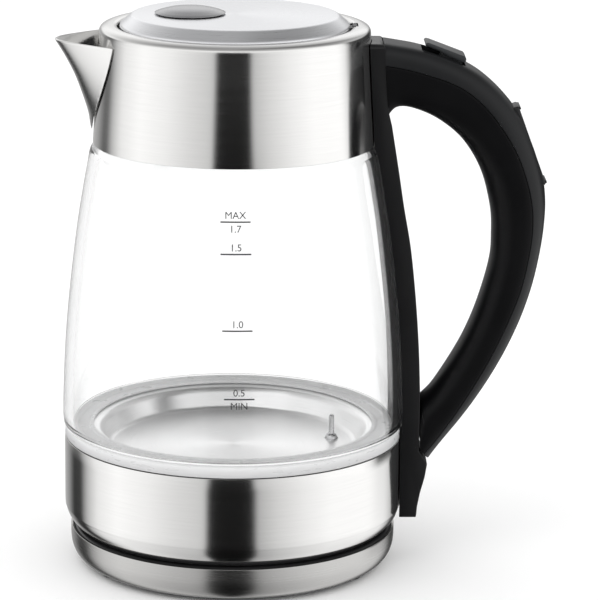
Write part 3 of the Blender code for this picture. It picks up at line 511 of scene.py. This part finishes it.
def makeLowerJug():
    outer = flowLine(jugDict["band"], 4)
    band = turn("band_shell", softCorners(outer + wallInside(outer, jugDict["sheet"]), 0.2), steps=192)
    cut(band, block("way", (14.0, 8.4, 8.0), (76, 0, 40)))
    smoothBy(band)
    settle(band, "jug", "brushed_steel", steelRound, "jug_band")
    cup = turn("base_cup", softCorners([
        (71.9, 26.0), (71.9, 19.6), (70.3, 17.6), (18.4, 17.6), (18.4, 19.6), (69.9, 19.6),
        (69.9, 26.0)], 0.5), steps=160)
    for angle in jugDict["screws"]:
        x, y = onCircle(jugDict["screwCircle"], angle)
        cut(cup, rod("seat", 3.2, (x, y, 15.0), (x, y, 18.6)),
            rod("way", jugDict["screwHole"], (x, y, 15.0), (x, y, 22.0)))
    smoothBy(cup)
    settle(cup, "jug", "black_plastic", deckPlastic, "jug_base_cover")
    socket = turn("socket", softCorners([
        (22.0, 24.0), (22.0, 20.0), (18.0, 20.0), (18.0, 17.6), (13.6, 17.6), (13.6, 21.0), (12.3, 21.6),
        (12.3, 28.0), (8.3, 28.0), (8.3, 30.0), (6.5, 30.0), (6.5, 28.0), (2.0, 28.0), (2.0, 31.0),
        (16.0, 31.0), (16.0, 24.0)], 0.3), steps=96)
    settle(socket, "jug", "black_plastic", deckPlastic, "jug_connector")
    floor = turn("floor_dish", softCorners([
        (0.0, 53.3), (54.8, 53.3), (56.4, 54.4), (58.9, 61.0), (60.3, 62.9), (63.4, 63.5), (66.4, 63.5),
        (66.4, 62.7), (63.6, 62.7), (60.9, 62.1), (59.7, 60.6), (57.1, 53.8), (55.2, 52.5),
        (0.0, 52.5)], 0.8, closed=False, steps=5), closed=False, steps=192)
    probeX, probeY = jugDict["probeAt"]
    cut(floor, rod("way", 3.2, (probeX, probeY, 50.0), (probeX, probeY, 56.0)))
    smoothBy(floor)
    settle(floor, "jug", "brushed_steel", litFloorSteel, "heating_plate")
    probe = turn("probe_pin", [
        (0.0, 64.5), (0.7, 64.4), (1.1, 64.0), (1.2, 63.4), (1.2, 56.4), (1.5, 55.6), (2.3, 55.0),
        (2.8, 54.2), (2.8, 46.0), (0.0, 46.0)], closed=False, steps=32, at=jugDict["probeAt"])
    settle(probe, "jug", "polished_steel", steelScrew, "sensor_probe")
    ring = turn("clear_ring", softCorners([
        (75.0, 64.8), (76.0, 63.8), (76.0, 59.2), (66.8, 59.2), (66.8, 63.8), (63.0, 63.8), (63.0, 64.8),
        (64.6, 64.8), (65.2, 64.3), (69.6, 64.2), (70.2, 64.6), (73.6, 64.6)], 0.4), steps=192)
    settle(ring, "jug", "clear_silicone", sealClear, "seal_ring")
    outer = flowLine(jugDict["glass"], 5)
    glass = turn("glass_wall", softCorners(outer + wallInside(outer, jugDict["glassWall"]), 0.9), steps=192)
    glass.visible_shadow = False
    settle(glass, "jug", "glass", jugGlass, "glass_body")
    seal = turn("neck_gasket", softCorners([
        (60.6, 215.2), (60.6, 212.4), (57.4, 212.4), (57.4, 215.2)], 0.6), steps=128)
    settle(seal, "jug", "clear_silicone", sealClear, "neck_seal")


# steel collar, throat, spout and filter

hingeDict = {"x": 53.0, "z": 244.2, "knuckle": 1.2, "bore": 0.95}


def hingeRod(name, radius, start, stop, sides=48):  # a rod along the lid's hinge line
    x, z = hingeDict["x"], hingeDict["z"]
    return rod(name, radius, (x, start, z), (x, stop, z), sides)


collarDict = {
    "outer": [(53.5, 245.3), (56.6, 245.15), (58.8, 244.5), (59.75, 243.5), (60.0, 242.5)],
    "foot": (62.9, 192.9),
    "wallTop": (60.0, 240.2),  # from the foot to here runs the line that the spout's root follows
    "sheet": 0.8,
    "spoutOpening": ((34.0, 38.0, 20.4), (-62.0, 0.0, 227.4)),
    "latchWay": ((8.0, 9.4, 3.6), (60.4, 0.0, 232.2)),
    "wireWay": ((8.0, 9.4, 5.4), (60.4, 0.0, 222.8)),
    "hingeNotch": ((3.2, 9.2, 8.0), (52.7, 0.0, 243.6)),
    "knuckleSeat": ((3.2, 15.2, 5.0), (52.7, 0.0, 242.5)),
}


def makeCollar():
    shoulder = flowLine(collarDict["outer"], 5)
    outer = shoulder + [(60.04, 241.8), (60.6, 230.3), collarDict["foot"]]
    inner = wallInside(outer, collarDict["sheet"])[:-1]
    collar = turn("collar_shell", softCorners(
        outer + inner + [(53.7, 244.5), (52.7, 244.0), (52.7, 240.4), (51.9, 240.4), (51.9, 244.4),
                         (52.4, 245.0)], 0.2), steps=192)
    for key in ("spoutOpening", "latchWay", "wireWay", "hingeNotch", "knuckleSeat"):
        cut(collar, block(key, *collarDict[key]))
    smoothBy(collar)
    settle(collar, "jug", "brushed_steel", steelRound, "top_collar")
    throat = turn("throat_liner", softCorners([
        (51.2, 239.8), (58.8, 239.8), (60.2, 215.6), (56.6, 215.6), (56.0, 229.0), (50.2, 233.6),
        (50.2, 239.0)], 0.5), steps=160)
    for side in (-1, 1):
        cut(throat, block("earWeb", (3.0, 3.0, 6.0), (54.6, side * 6.9, 241.6)),
            hingeRod("knuckle", hingeDict["knuckle"], side * 5.4, side * 7.2), operation="UNION")
    cut(throat, hingeRod("bore", hingeDict["bore"], -12, 12, 24),
        block("flat", (9, 20, 2), (54, 0, 245.95)), block("trough", (6.0, 9.8, 9.0), (53.4, 0.0, 241.4)),
        block("opening", *collarDict["spoutOpening"]),
        block("latchSlot", (16.0, 9.4, 3.6), (54.4, 0.0, 232.2)))
    smoothBy(throat)
    settle(throat, "jug", "black_plastic", throatPlastic, "rim_liner")


def collarRadius(height):
    (footRadius, foot), (topRadius, top) = collarDict["foot"], collarDict["wallTop"]
    share = (height - foot) / (top - foot)
    return footRadius + share * (topRadius - footRadius)


spoutDict = {
    "stations": [(195.5, -60.6, 3.2), (199.0, -62.9, 11.5), (206.0, -64.1, 21.4), (214.0, -66.6, 28.0),
                 (223.5, -70.2, 31.6), (232.5, -74.9, 33.0), (238.9, -78.9, 33.4)],
    "roundness": 0.36,
    "sheet": 0.8,
}


def spoutRow(height, noseX, halfWidth, steps=20):
    roundness = spoutDict["roundness"]
    reach = math.sqrt(1 + roundness ** 2) - roundness
    rootX = -math.sqrt(max(collarRadius(height) ** 2 - halfWidth ** 2, 0.0)) + 3.0
    row = []
    for i in range(-steps, steps + 1):
        share = i / steps
        pull = (math.sqrt(share ** 2 + roundness ** 2) - roundness) / reach
        row.append((noseX + (rootX - noseX) * pull, halfWidth * share, height))
    return row


def makeSpout():
    rows = [spoutRow(*station) for station in flowLine(spoutDict["stations"], 5)]
    spout = loft("spout_shell", rows, closedRing=False, capEnds=False)
    applyModifier(spout, "SOLIDIFY", thickness=spoutDict["sheet"] * mm, offset=-1.0)
    core = turn("core", [(0.0, 250.0), (60.0, 250.0), (64.1, 185.0), (0.0, 185.0)], closed=False, steps=192)
    cut(spout, core)
    roundEdges(spout, 0.22, 2, 50)
    smoothBy(spout)
    settle(spout, "jug", "brushed_steel", steelSpout, "spout")


# lid

lidDict = {
    "cover": [(0.0, 249.8), (45.6, 249.8), (50.9, 245.4), (50.9, 240.8), (50.1, 240.8), (50.1, 245.1),
              (45.2, 249.0), (0.0, 249.0)],
    "knob": [(0.0, 253.0), (5.0, 252.88), (10.0, 252.25), (14.2, 251.1), (15.8, 250.5), (15.3, 250.1),
             (0.0, 250.8)],
}


def makeLid():
    screwX = knobAt[0]
    cover = turn("lid_disc", softCorners(lidDict["cover"], 0.9, closed=False, steps=5), closed=False, steps=192,
                 angle=25)
    cut(cover, block("notch", (6.0, 9.2, 9.0), (51.0, 0.0, 241.0)),
        rod("way", 2.0, (screwX, 0, 240), (screwX, 0, 260), 24))
    smoothBy(cover, 25)
    settle(cover, "lid", "brushed_steel", litLidSteel, "lid_cover")
    dome = flowLine(lidDict["knob"][:4], 5) + lidDict["knob"][4:]
    knob = turn("lid_dome", softCorners(dome, 0.3, closed=False), closed=False, steps=96, at=knobAt)
    settle(knob, "lid", "polished_steel", shadedKnobSteel, "lid_knob")
    plug = turn("lid_plug", softCorners([
        (0.0, 243.4), (49.6, 243.4), (49.6, 240.4), (47.4, 240.4), (47.4, 235.2), (0.0, 235.2)], 0.8,
        closed=False, steps=4), closed=False, steps=160)
    cut(plug, block("arm", (5.6, 8.0, 2.2), (50.6, 0.0, 243.3)),
        hingeRod("barrel", hingeDict["knuckle"], -4.4, 4.4), operation="UNION")
    cut(plug, hingeRod("bore", hingeDict["bore"], -12, 12, 24),
        rod("way", 1.5, (screwX, 0, 238), (screwX, 0, 250), 24))
    smoothBy(plug)
    settle(plug, "lid", "black_plastic", throatPlastic, "lid_liner")
    seal = turn("lid_gasket", softCorners([
        (49.7, 239.4), (49.7, 237.4), (47.7, 236.6), (47.7, 240.0)], 0.4), steps=160)
    settle(seal, "lid", "clear_silicone", sealClear, "lid_seal")


# handle, spine, button and rocker

handleDict = {
    "half": 13.4,
    "stations": [  # outer point, inner point, from the head round to the foot
        ((65.4, 238.6), (67.7, 206.0)), ((72.0, 237.6), (70.8, 209.6)), ((80.0, 236.2), (75.5, 210.2)),
        ((90.0, 233.4), (82.5, 208.2)), ((100.0, 229.4), (89.5, 204.8)), ((109.0, 224.2), (96.6, 199.6)),
        ((118.0, 216.2), (101.8, 194.2)), ((126.0, 206.2), (106.8, 186.6)), ((132.2, 194.2), (110.6, 178.2)),
        ((136.6, 181.6), (113.2, 168.8)), ((138.6, 169.2), (114.8, 160.0)), ((138.5, 157.4), (115.1, 151.0)),
        ((137.0, 144.5), (114.8, 141.5)), ((134.0, 129.4), (112.4, 130.2)), ((129.4, 114.6), (108.2, 116.4)),
        ((123.4, 100.4), (103.4, 104.6)), ((116.6, 87.5), (98.2, 94.8)), ((109.4, 75.9), (92.6, 85.6)),
        ((103.2, 67.1), (88.4, 79.6)), ((99.0, 61.6), (82.5, 73.5)), ((95.0, 56.6), (81.0, 68.5)),
        ((91.6, 52.2), (80.2, 63.6)), ((88.8, 48.4), (80.0, 59.6))],
    "seam": [(60.0, 229.4), (68.0, 228.8), (80.5, 226.2), (97.6, 220.4), (108.7, 212.5), (117.6, 201.9),
             (124.4, 190.7), (129.0, 179.0), (131.8, 167.5), (132.5, 157.0), (131.4, 145.0), (127.2, 125.6),
             (116.9, 100.6), (105.9, 80.2), (95.2, 63.4), (88.0, 54.0), (78.0, 44.5)],
    "gap": 0.24,
    "seamStep": 0.8,  # height of the ridge inside the seam
    "power": 2.8,  # how boxy the oval section is, and how much more so at the head
    "headPower": 3.2,
    "headRings": 34,
    "footRings": 60,  # the rings past this one stay outside footX
    "footX": 84.3,
    "spineHalf": 13.0,
}
buttonDict = {"centre": Vector((93.2, 0.0, 235.5)), "slope": math.radians(20.6), "size": (19.6, 14.8, 8.0)}
rockerDict = {"centre": Vector((132.05, 0.0, 192.7)), "slope": math.radians(69.6), "size": (37.8, 13.0, 4.6)}


def below(piece, depth, along=0.0):  # a point under the middle of a sloping face
    slope = piece["slope"]
    normal = Vector((math.sin(slope), 0.0, math.cos(slope)))
    run = Vector((math.cos(slope), 0.0, -math.sin(slope)))
    return piece["centre"] - normal * depth + run * along


def crossing(inner, outer, line):  # how far from inner to outer the line is crossed
    a, b = Vector(inner), Vector(outer)
    for start, stop in zip(line, line[1:]):
        c, d = Vector(start), Vector(stop)
        r, s = b - a, d - c
        bottom = r.x * s.y - r.y * s.x
        if abs(bottom) < 1e-9:
            continue
        t = ((c.x - a.x) * s.y - (c.y - a.y) * s.x) / bottom
        u = ((c.x - a.x) * r.y - (c.y - a.y) * r.x) / bottom
        if 0 <= t <= 1 and 0 <= u <= 1:
            return t
    return 0.72  # the line has run out


def handleRing(inner, outer, low, high, power, bulgeLow=0.0, bulgeHigh=0.0, sides=22):
    # one cross-section, between two shares of the way out; a bulge steps its seam face outwards
    inner, outer = Vector(inner), Vector(outer)
    half = handleDict["half"]
    shares = []
    startAngle = math.acos(max(-1.0, min(1.0, 1 - 2 * low)))
    stopAngle = math.acos(max(-1.0, min(1.0, 1 - 2 * high)))
    for i in range(sides + 1):
        angle = startAngle + (stopAngle - startAngle) * i / sides
        shares.append((1 - math.cos(angle)) / 2)
    ring = []
    for sign in (-1, 1):
        for share in (shares if sign < 0 else shares[::-1]):
            width = half * max(1 - abs(2 * share - 1) ** power, 0.0) ** (1 / power)
            spot = inner + (outer - inner) * share
            ring.append((max(spot.x, 0.0), sign * width, spot.y))
        bulge = bulgeHigh if sign < 0 else bulgeLow
        if bulge:
            spot = inner + (outer - inner) * ((high if sign < 0 else low) + bulge)
            ring.append((spot.x, 0.0, spot.y))
    return ring


def makeHandle():
    stations = [station[0] + station[1] for station in handleDict["stations"]]
    stations = flowLine(stations, 4)
    seam = flowLine(handleDict["seam"], 4)
    bodyRings, coverRings = [], []
    for i, station in enumerate(stations):
        outer, inner = station[:2], station[2:]
        length = (Vector(outer) - Vector(inner)).length
        share = crossing(inner, outer, seam)
        edge = handleDict["gap"] / 2 / length
        power = handleDict["power"] + handleDict["headPower"] * max(0.0, 1 - i / handleDict["headRings"])
        bulge = handleDict["seamStep"] / length
        bodyRings.append(handleRing(inner, outer, 0.0, share - edge, power, bulgeHigh=bulge))
        coverRings.append(handleRing(inner, outer, share + edge, 1.0, power, bulgeLow=bulge))
    for rings in (bodyRings, coverRings):
        for i, ring in enumerate(rings):
            if i > handleDict["footRings"]:
                rings[i] = [(max(x, handleDict["footX"]), y, z) for x, y, z in ring]
    body = loft("grip_body", bodyRings)
    cover = loft("grip_cover", coverRings)
    for piece in (body, cover):
        roundEdges(piece, 0.3, 3, 50)
        long, wide = buttonDict["size"][:2]
        length, width = rockerDict["size"][:2]
        cut(piece,
            block("buttonPocket", (long + 1.0, wide + 1.0, 12.0), below(buttonDict, 3.2), buttonDict["slope"]),
            block("rockerPocket", (length + 1.4, width + 1.0, 11.0), below(rockerDict, 1.9),
                  rockerDict["slope"]))
        if piece is body:
            cut(piece,
                block("modulePocket", (19.0, 9.8, 9.0), below(rockerDict, 12.2, 2.4), rockerDict["slope"]))
        smoothBy(piece, 38)
    settle(body, "jug", "black_plastic", handlePlastic, "handle_body")
    settle(cover, "jug", "black_plastic", litCoverPlastic, "handle_cover")


def bevelSideEdges(obj, half, low, high, width, inner=62.0):  # rounds the edges that run along both side faces
    pick(obj)
    bpy.ops.object.mode_set(mode="EDIT")
    bpy.ops.mesh.select_all(action="DESELECT")
    bpy.ops.object.mode_set(mode="OBJECT")
    points = obj.data.vertices
    for edge in obj.data.edges:
        start, stop = (points[i].co for i in edge.vertices)
        onSide = abs(abs(start.y) - half * mm) < 1e-6 and abs(stop.y - start.y) < 1e-6
        middle = (start.z + stop.z) / 2 / mm
        edge.select = onSide and low < middle < high and min(start.x, stop.x) > inner * mm
    bpy.ops.object.mode_set(mode="EDIT")
    bpy.ops.mesh.select_mode(type="EDGE")
    bpy.ops.mesh.bevel(offset=width * mm, segments=5, affect="EDGES", clamp_overlap=True)
    bpy.ops.mesh.select_mode(type="VERT")
    bpy.ops.object.mode_set(mode="OBJECT")


def makeSpine():
    face = flowLine([(69.4, 202.4), (72.8, 182.0), (75.4, 165.5), (78.7, 147.0), (81.3, 124.0), (83.1, 101.0),
                     (84.0, 80.0)], 4)
    outline = [(65.9, 238.6), (68.2, 206.6)] + face
    outline += [(84.0, 53.4), (87.8, 47.4), (86.8, 41.0), (84.8, 33.5), (83.6, 27.0), (83.2, 22.2),
                (50.0, 22.2), (50.0, 238.6)]
    half = handleDict["spineHalf"]
    spine = plate("spine_strip", outline, half)
    bevelSideEdges(spine, half, 0.0, 204.0, 2.8)  # below the handle's head
    bevelSideEdges(spine, half, 237.0, 300.0, 2.2, 40.0)  # above it
    bevelSideEdges(spine, half, 204.0, 234.0, 0.4)  # where the head meets it
    glassSide = [(r, z) for r, z in jugDict["glass"] if z < 189.0]
    sides = [(60.4, 240.2), (63.3, 192.3)] + [(r + 0.4, z) for r, z in glassSide]
    sides += [(76.4, 64.8), (76.6, 59.2), (76.6, 10.0)]
    seat = turn("seat", [(0.0, 262.0), (55.4, 262.0), (60.4, 243.2)] + sides + [(0.0, 10.0)],
                closed=False, steps=192)
    cut(spine, seat)
    smoothBy(spine, 38)
    settle(spine, "jug", "black_plastic", spinePlastic, "handle_spine")


def makeButton():
    long, wide, tall = buttonDict["size"]
    slope = buttonDict["slope"]
    key = [(-long / 2, 1.6), (-long / 2 + 0.2, 0.3), (-long / 2 + 1.6, 0.0), (long / 2 - 1.4, 0.0),
           (long / 2 - 0.2, 0.7), (long / 2, 1.9), (long / 2 - 0.6, 2.9), (long * 0.1, 2.7),
           (-long * 0.12, 1.9)]
    spots = [below(buttonDict, depth, along) for along, depth in key]
    button = plate("thumb_button", [(spot.x, spot.z) for spot in spots], wide / 2)
    roundEdges(button, 0.7, 4, 50)
    stem = block("stem", (long * 0.5, wide - 4.0, tall - 1.8),
                 below(buttonDict, 1.8 + (tall - 1.8) / 2, long * 0.2), slope)
    cut(button, stem, operation="UNION")
    smoothBy(button, 38)
    settle(button, "lid_button", "black_plastic", buttonPlastic, "lid_button")


def makeRocker():
    length, width, thick = rockerDict["size"]
    slope = rockerDict["slope"]
    rocker = block("rocker_key", rockerDict["size"], below(rockerDict, thick / 2), slope)
    roundEdges(rocker, 1.0, 4)
    for along in (-1, 1):
        ridge = block("ridge", (1.5, width - 1.2, 1.6),
                      below(rockerDict, 0.15, along * (length / 2 - 1.2)), slope)
        roundEdges(ridge, 0.5, 3)
        cut(rocker, ridge, operation="UNION")
    smoothBy(rocker)
    settle(rocker, "power_switch", "black_plastic", rockerPlastic, "power_switch")


# litre marks on the near side of the glass

markDict = {
    "lines": [(-5.8, 7.1, 171.0), (-5.7, 7.5, 157.35), (-4.8, 8.2, 124.55), (-3.9, 9.2, 94.8)],
    "words": [("MAX", 0.6, 172.4, 3.0), ("1.7", 0.6, 166.6, 3.0), ("1.5", 0.9, 158.7, 3.0),
              ("1.0", 1.7, 125.9, 3.0), ("0.5", 2.6, 96.2, 3.0), ("MIN", 2.6, 90.4, 3.0)],
    "thick": 0.6,
    "lineParts": 12,
    "ink": 0.02,
    "stand": 0.06,
    "letter": 1.42,  # font size for a capital's height
}


def glassRadius(height):
    line = jugDict["glass"]
    for upper, lower in zip(line, line[1:]):
        if lower[1] <= height <= upper[1]:
            share = (height - lower[1]) / (upper[1] - lower[1])
            return lower[0] + share * (upper[0] - lower[0])
    return line[-1][0]


def wrapOnGlass(obj):  # bends a flat XZ shape round the front of the glass
    for vertex in obj.data.vertices:
        x, z = vertex.co.x / mm, vertex.co.z / mm
        radius = glassRadius(z) + markDict["stand"] + vertex.co.y / mm
        vertex.co = Vector((radius * math.sin(x / radius), -radius * math.cos(x / radius), z)) * mm


def makeMarks():
    made = []
    for left, right, height in markDict["lines"]:
        half, parts = markDict["thick"] / 2, markDict["lineParts"]
        lowEdge = [(left + (right - left) * i / parts, height - half) for i in range(parts + 1)]
        highEdge = [(right - (right - left) * i / parts, height + half) for i in range(parts + 1)]
        line = plate("mark_line", lowEdge + highEdge, markDict["ink"])
        made.append(line)
    for word, middle, foot, size in markDict["words"]:
        startFresh()
        bpy.ops.object.text_add(location=(0, 0, 0))
        text = bpy.context.object
        text.data.body = word
        text.data.align_x = "CENTER"
        text.data.size = size * mm * markDict["letter"]
        text.data.extrude = markDict["ink"] * mm
        bpy.ops.object.convert(target="MESH")
        place = Matrix.Translation((middle * mm, 0, foot * mm)) @ Matrix.Rotation(math.pi / 2, 4, "X")
        text.data.transform(place)
        made.append(text)
    for obj in made:
        wrapOnGlass(obj)
    startFresh()
    for obj in made:
        obj.select_set(True)
    bpy.context.view_layer.objects.active = made[0]
    bpy.ops.object.join()
    marks = bpy.context.object
    marks.name = "litre_marks"
    bpy.ops.object.mode_set(mode="EDIT")
    bpy.ops.mesh.select_all(action="SELECT")
    bpy.ops.mesh.normals_make_consistent(inside=False)
    bpy.ops.object.mode_set(mode="OBJECT")
    settle(marks, "jug", "black_plastic", markInk)


# finishes for the nodes that keep their own mesh

nodeFinish = {
    "base_underside": deckPlastic, "live_contact": contactBrass, "neutral_contact": contactBrass,
    "live_pin": contactBrass, "neutral_ring": contactBrass, "control_unit": controlPlastic,
    "snap_disc": discCopper, "heat_spreader": spreaderMetal, "heating_element": steelSheath,
    "lid_hinge_pin": steelScrew, "spout_filter": greyPlastic, "switch_module": controlPlastic,
    "switch_wire_live": wireRed, "switch_wire_return": wireBlue, "lid_latch": greyPlastic,
}


def finishNodes():
    for name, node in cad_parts.items():
        material = nodeFinish.get(name)
        if name.startswith("rubber_foot"):
            material = footRubber
        if "screw" in name:
            material = steelScrew
        if material:
            for slot in node.material_slots:
                slot.material = material


print("stage: base")
makeBase()
print("stage: lower jug")
makeLowerJug()
print("stage: collar and spout")
makeCollar()
makeSpout()
print("stage: lid")
makeLid()
print("stage: handle")
makeSpine()
makeHandle()
makeButton()
makeRocker()
print("stage: marks and node finishes")
makeMarks()
finishNodes()


# floor, light and camera

studioDict = {
    "floor": 12.0,
    "sky": 1.42,
    "mirrorStrength": 1.3,
    # brightness of what the metal mirrors, by direction round the kettle; 0 is behind the camera
    "mirror": [(-180, 0.45), (-166, 0.4), (-146, 0.3), (-131, 0.12), (-124, 0.14), (-114, 0.5), (-102, 0.8),
               (-80, 0.97), (-55, 0.86), (-34, 0.68), (-17, 0.56), (-13.6, 0.008), (11.4, 0.008), (14.6, 0.5),
               (27, 0.66), (45, 0.84), (64, 0.98), (94, 1.0), (103, 0.8), (112, 0.05), (156, 0.03),
               (170, 0.3), (180, 0.45)],
    # the same for directions well below level
    "mirrorLow": [(-180, 0.45), (-166, 0.4), (-148, 0.25), (-135, 0.03), (-121, 0.03), (-111, 0.45),
                  (-98, 0.8), (-78, 0.97), (-55, 0.86), (-34, 0.68), (-17, 0.58), (-14.2, 0.005),
                  (12.4, 0.005), (15.4, 0.42), (27, 0.62), (45, 0.82), (64, 0.96), (100, 0.97),
                  (122, 0.82), (134, 0.5), (146, 0.06), (160, 0.05), (172, 0.3), (180, 0.45)],
    "lean": 0.4,  # lets the dark strip run on down a rounded lower edge
    # heights from 0 straight down to 1 straight up, at which one set of bands gives way to the next
    "lowBlend": (0.362, 0.386),
    "upperBlend": (0.54, 0.605),
    # shades by height below level and above it, and by direction above it
    "tiers": [(0.0, 0.72), (0.2, 0.86), (0.34, 1.0), (0.5, 1.0)],
    "ceiling": [(0.5, 0.84), (0.56, 0.87), (0.66, 0.85), (0.8, 0.55), (0.92, 0.34), (1.0, 0.28)],
    "upper": [(-180, 1.0), (-140, 0.9), (-118, 0.75), (-90, 0.95), (-20, 1.0), (90, 1.0), (116, 0.5),
              (150, 0.5), (168, 0.95), (180, 1.0)],
    "key": (6.0, 1.6, (-0.9, -1.2, 1.9)),  # the lamp's power, size and place
}


def makeStudio():
    startFresh()
    bpy.ops.mesh.primitive_plane_add(size=studioDict["floor"], location=(0, 0, 0))
    floor = bpy.context.object
    floor.name = "floor"
    material, tree, shader = newMaterial("floor_paint", Roughness=0.9, Specular_IOR_Level=0.0)
    slow = grainNoise(tree, (1, 1, 1), 3.0, 2.0)
    tint = ramp(tree, slow.outputs["Fac"], [(0.3, grey(0.975)), (0.7, grey(0.985))])
    tree.links.new(tint.outputs["Color"], shader.inputs["Base Color"])
    floor.data.materials.append(material)
    floor.visible_glossy = False
    world = bpy.data.worlds.new("studio")
    bpy.context.scene.world = world
    world.use_nodes = True
    tree = world.node_tree
    tree.nodes.clear()
    link = tree.links.new
    where = addNode(tree, "ShaderNodeTexCoord")
    apart = addNode(tree, "ShaderNodeSeparateXYZ")
    lean = addNode(tree, "ShaderNodeMath", operation="MULTIPLY_ADD")
    lean.inputs[1].default_value = studioDict["lean"]
    flip = addNode(tree, "ShaderNodeMath", operation="MULTIPLY")
    flip.inputs[1].default_value = -1.0
    turnBy = addNode(tree, "ShaderNodeMath", operation="ARCTAN2")
    share = addNode(tree, "ShaderNodeMapRange")
    share.inputs["From Min"].default_value = -math.pi
    share.inputs["From Max"].default_value = math.pi
    bars = ramp(tree, share.outputs["Result"], [((a + 180) / 360, grey(v)) for a, v in studioDict["mirror"]])
    lowBars = ramp(tree, share.outputs["Result"],
                   [((a + 180) / 360, grey(v)) for a, v in studioDict["mirrorLow"]])
    height = addNode(tree, "ShaderNodeMapRange")
    height.inputs["From Min"].default_value = -1.0
    height.inputs["From Max"].default_value = 1.0
    tiers = ramp(tree, height.outputs["Result"], [(p, grey(v)) for p, v in studioDict["tiers"]])
    ceiling = ramp(tree, height.outputs["Result"], [(p, grey(v)) for p, v in studioDict["ceiling"]])
    upperFrom, upperTo = studioDict["upperBlend"]
    above = ramp(tree, height.outputs["Result"], [(upperFrom, grey(0)), (upperTo, grey(1))])
    upper = ramp(tree, share.outputs["Result"], [((a + 180) / 360, grey(v)) for a, v in studioDict["upper"]])
    lowFrom, lowTo = studioDict["lowBlend"]
    sink = ramp(tree, height.outputs["Result"], [(lowFrom, grey(0)), (lowTo, grey(1))])
    rows = addNode(tree, "ShaderNodeMix", data_type="RGBA")
    lower = addNode(tree, "ShaderNodeMix", data_type="RGBA", blend_type="MULTIPLY")
    lower.inputs[0].default_value = 1.0
    higher = addNode(tree, "ShaderNodeMix", data_type="RGBA", blend_type="MULTIPLY")
    higher.inputs[0].default_value = 1.0
    room = addNode(tree, "ShaderNodeMix", data_type="RGBA")
    rays = addNode(tree, "ShaderNodeLightPath")
    plain = addNode(tree, "ShaderNodeBackground")
    plain.inputs["Strength"].default_value = studioDict["sky"]
    mirror = addNode(tree, "ShaderNodeBackground")
    mirror.inputs["Strength"].default_value = studioDict["mirrorStrength"]
    either = addNode(tree, "ShaderNodeMixShader")
    out = addNode(tree, "ShaderNodeOutputWorld")
    link(where.outputs["Generated"], apart.inputs["Vector"])
    link(apart.outputs["Z"], lean.inputs[0])
    link(apart.outputs["Y"], lean.inputs[2])
    link(lean.outputs["Value"], flip.inputs[0])
    link(apart.outputs["X"], turnBy.inputs[0])
    link(flip.outputs["Value"], turnBy.inputs[1])
    link(turnBy.outputs["Value"], share.inputs["Value"])
    link(apart.outputs["Z"], height.inputs["Value"])
    link(sink.outputs["Color"], rows.inputs[0])
    link(lowBars.outputs["Color"], rows.inputs[6])
    link(bars.outputs["Color"], rows.inputs[7])
    link(rows.outputs[2], lower.inputs[6])
    link(tiers.outputs["Color"], lower.inputs[7])
    link(above.outputs["Color"], room.inputs[0])
    link(lower.outputs[2], room.inputs[6])
    link(ceiling.outputs["Color"], higher.inputs[6])
    link(upper.outputs["Color"], higher.inputs[7])
    link(higher.outputs[2], room.inputs[7])
    link(room.outputs[2], mirror.inputs["Color"])
    link(rays.outputs["Is Glossy Ray"], either.inputs["Fac"])
    link(plain.outputs["Background"], either.inputs[1])
    link(mirror.outputs["Background"], either.inputs[2])
    link(either.outputs["Shader"], out.inputs["Surface"])
    power, size, place = studioDict["key"]
    startFresh()
    bpy.ops.object.light_add(type="AREA", location=place)
    lamp = bpy.context.object
    lamp.name = "soft_key"
    lamp.data.energy = power
    lamp.data.size = size
    lamp.rotation_euler = (Vector((0, 0, 0.12)) - Vector(place)).to_track_quat("-Z", "Y").to_euler()
    lamp.visible_glossy = False


cameraDict = {"place": (0.0, -1.449, 0.482), "pitch": 14.03, "roll": -0.299, "lens": 199.2, "shiftX": 0.1107}


def makeCamera():
    data = bpy.data.cameras.new("camera")
    camera = bpy.data.objects.new("camera", data)
    bpy.context.scene.collection.objects.link(camera)
    data.lens = cameraDict["lens"]
    data.sensor_width = 36.0
    data.shift_x = cameraDict["shiftX"]
    camera.matrix_world = (Matrix.Translation(cameraDict["place"])
                           @ Matrix.Rotation(math.pi / 2 - math.radians(cameraDict["pitch"]), 4, "X")
                           @ Matrix.Rotation(math.radians(-cameraDict["roll"]), 4, "Z"))
    bpy.context.scene.camera = camera


print("stage: studio")
makeStudio()
makeCamera()
bpy.context.scene.view_settings.view_transform = "Standard"
startFresh()
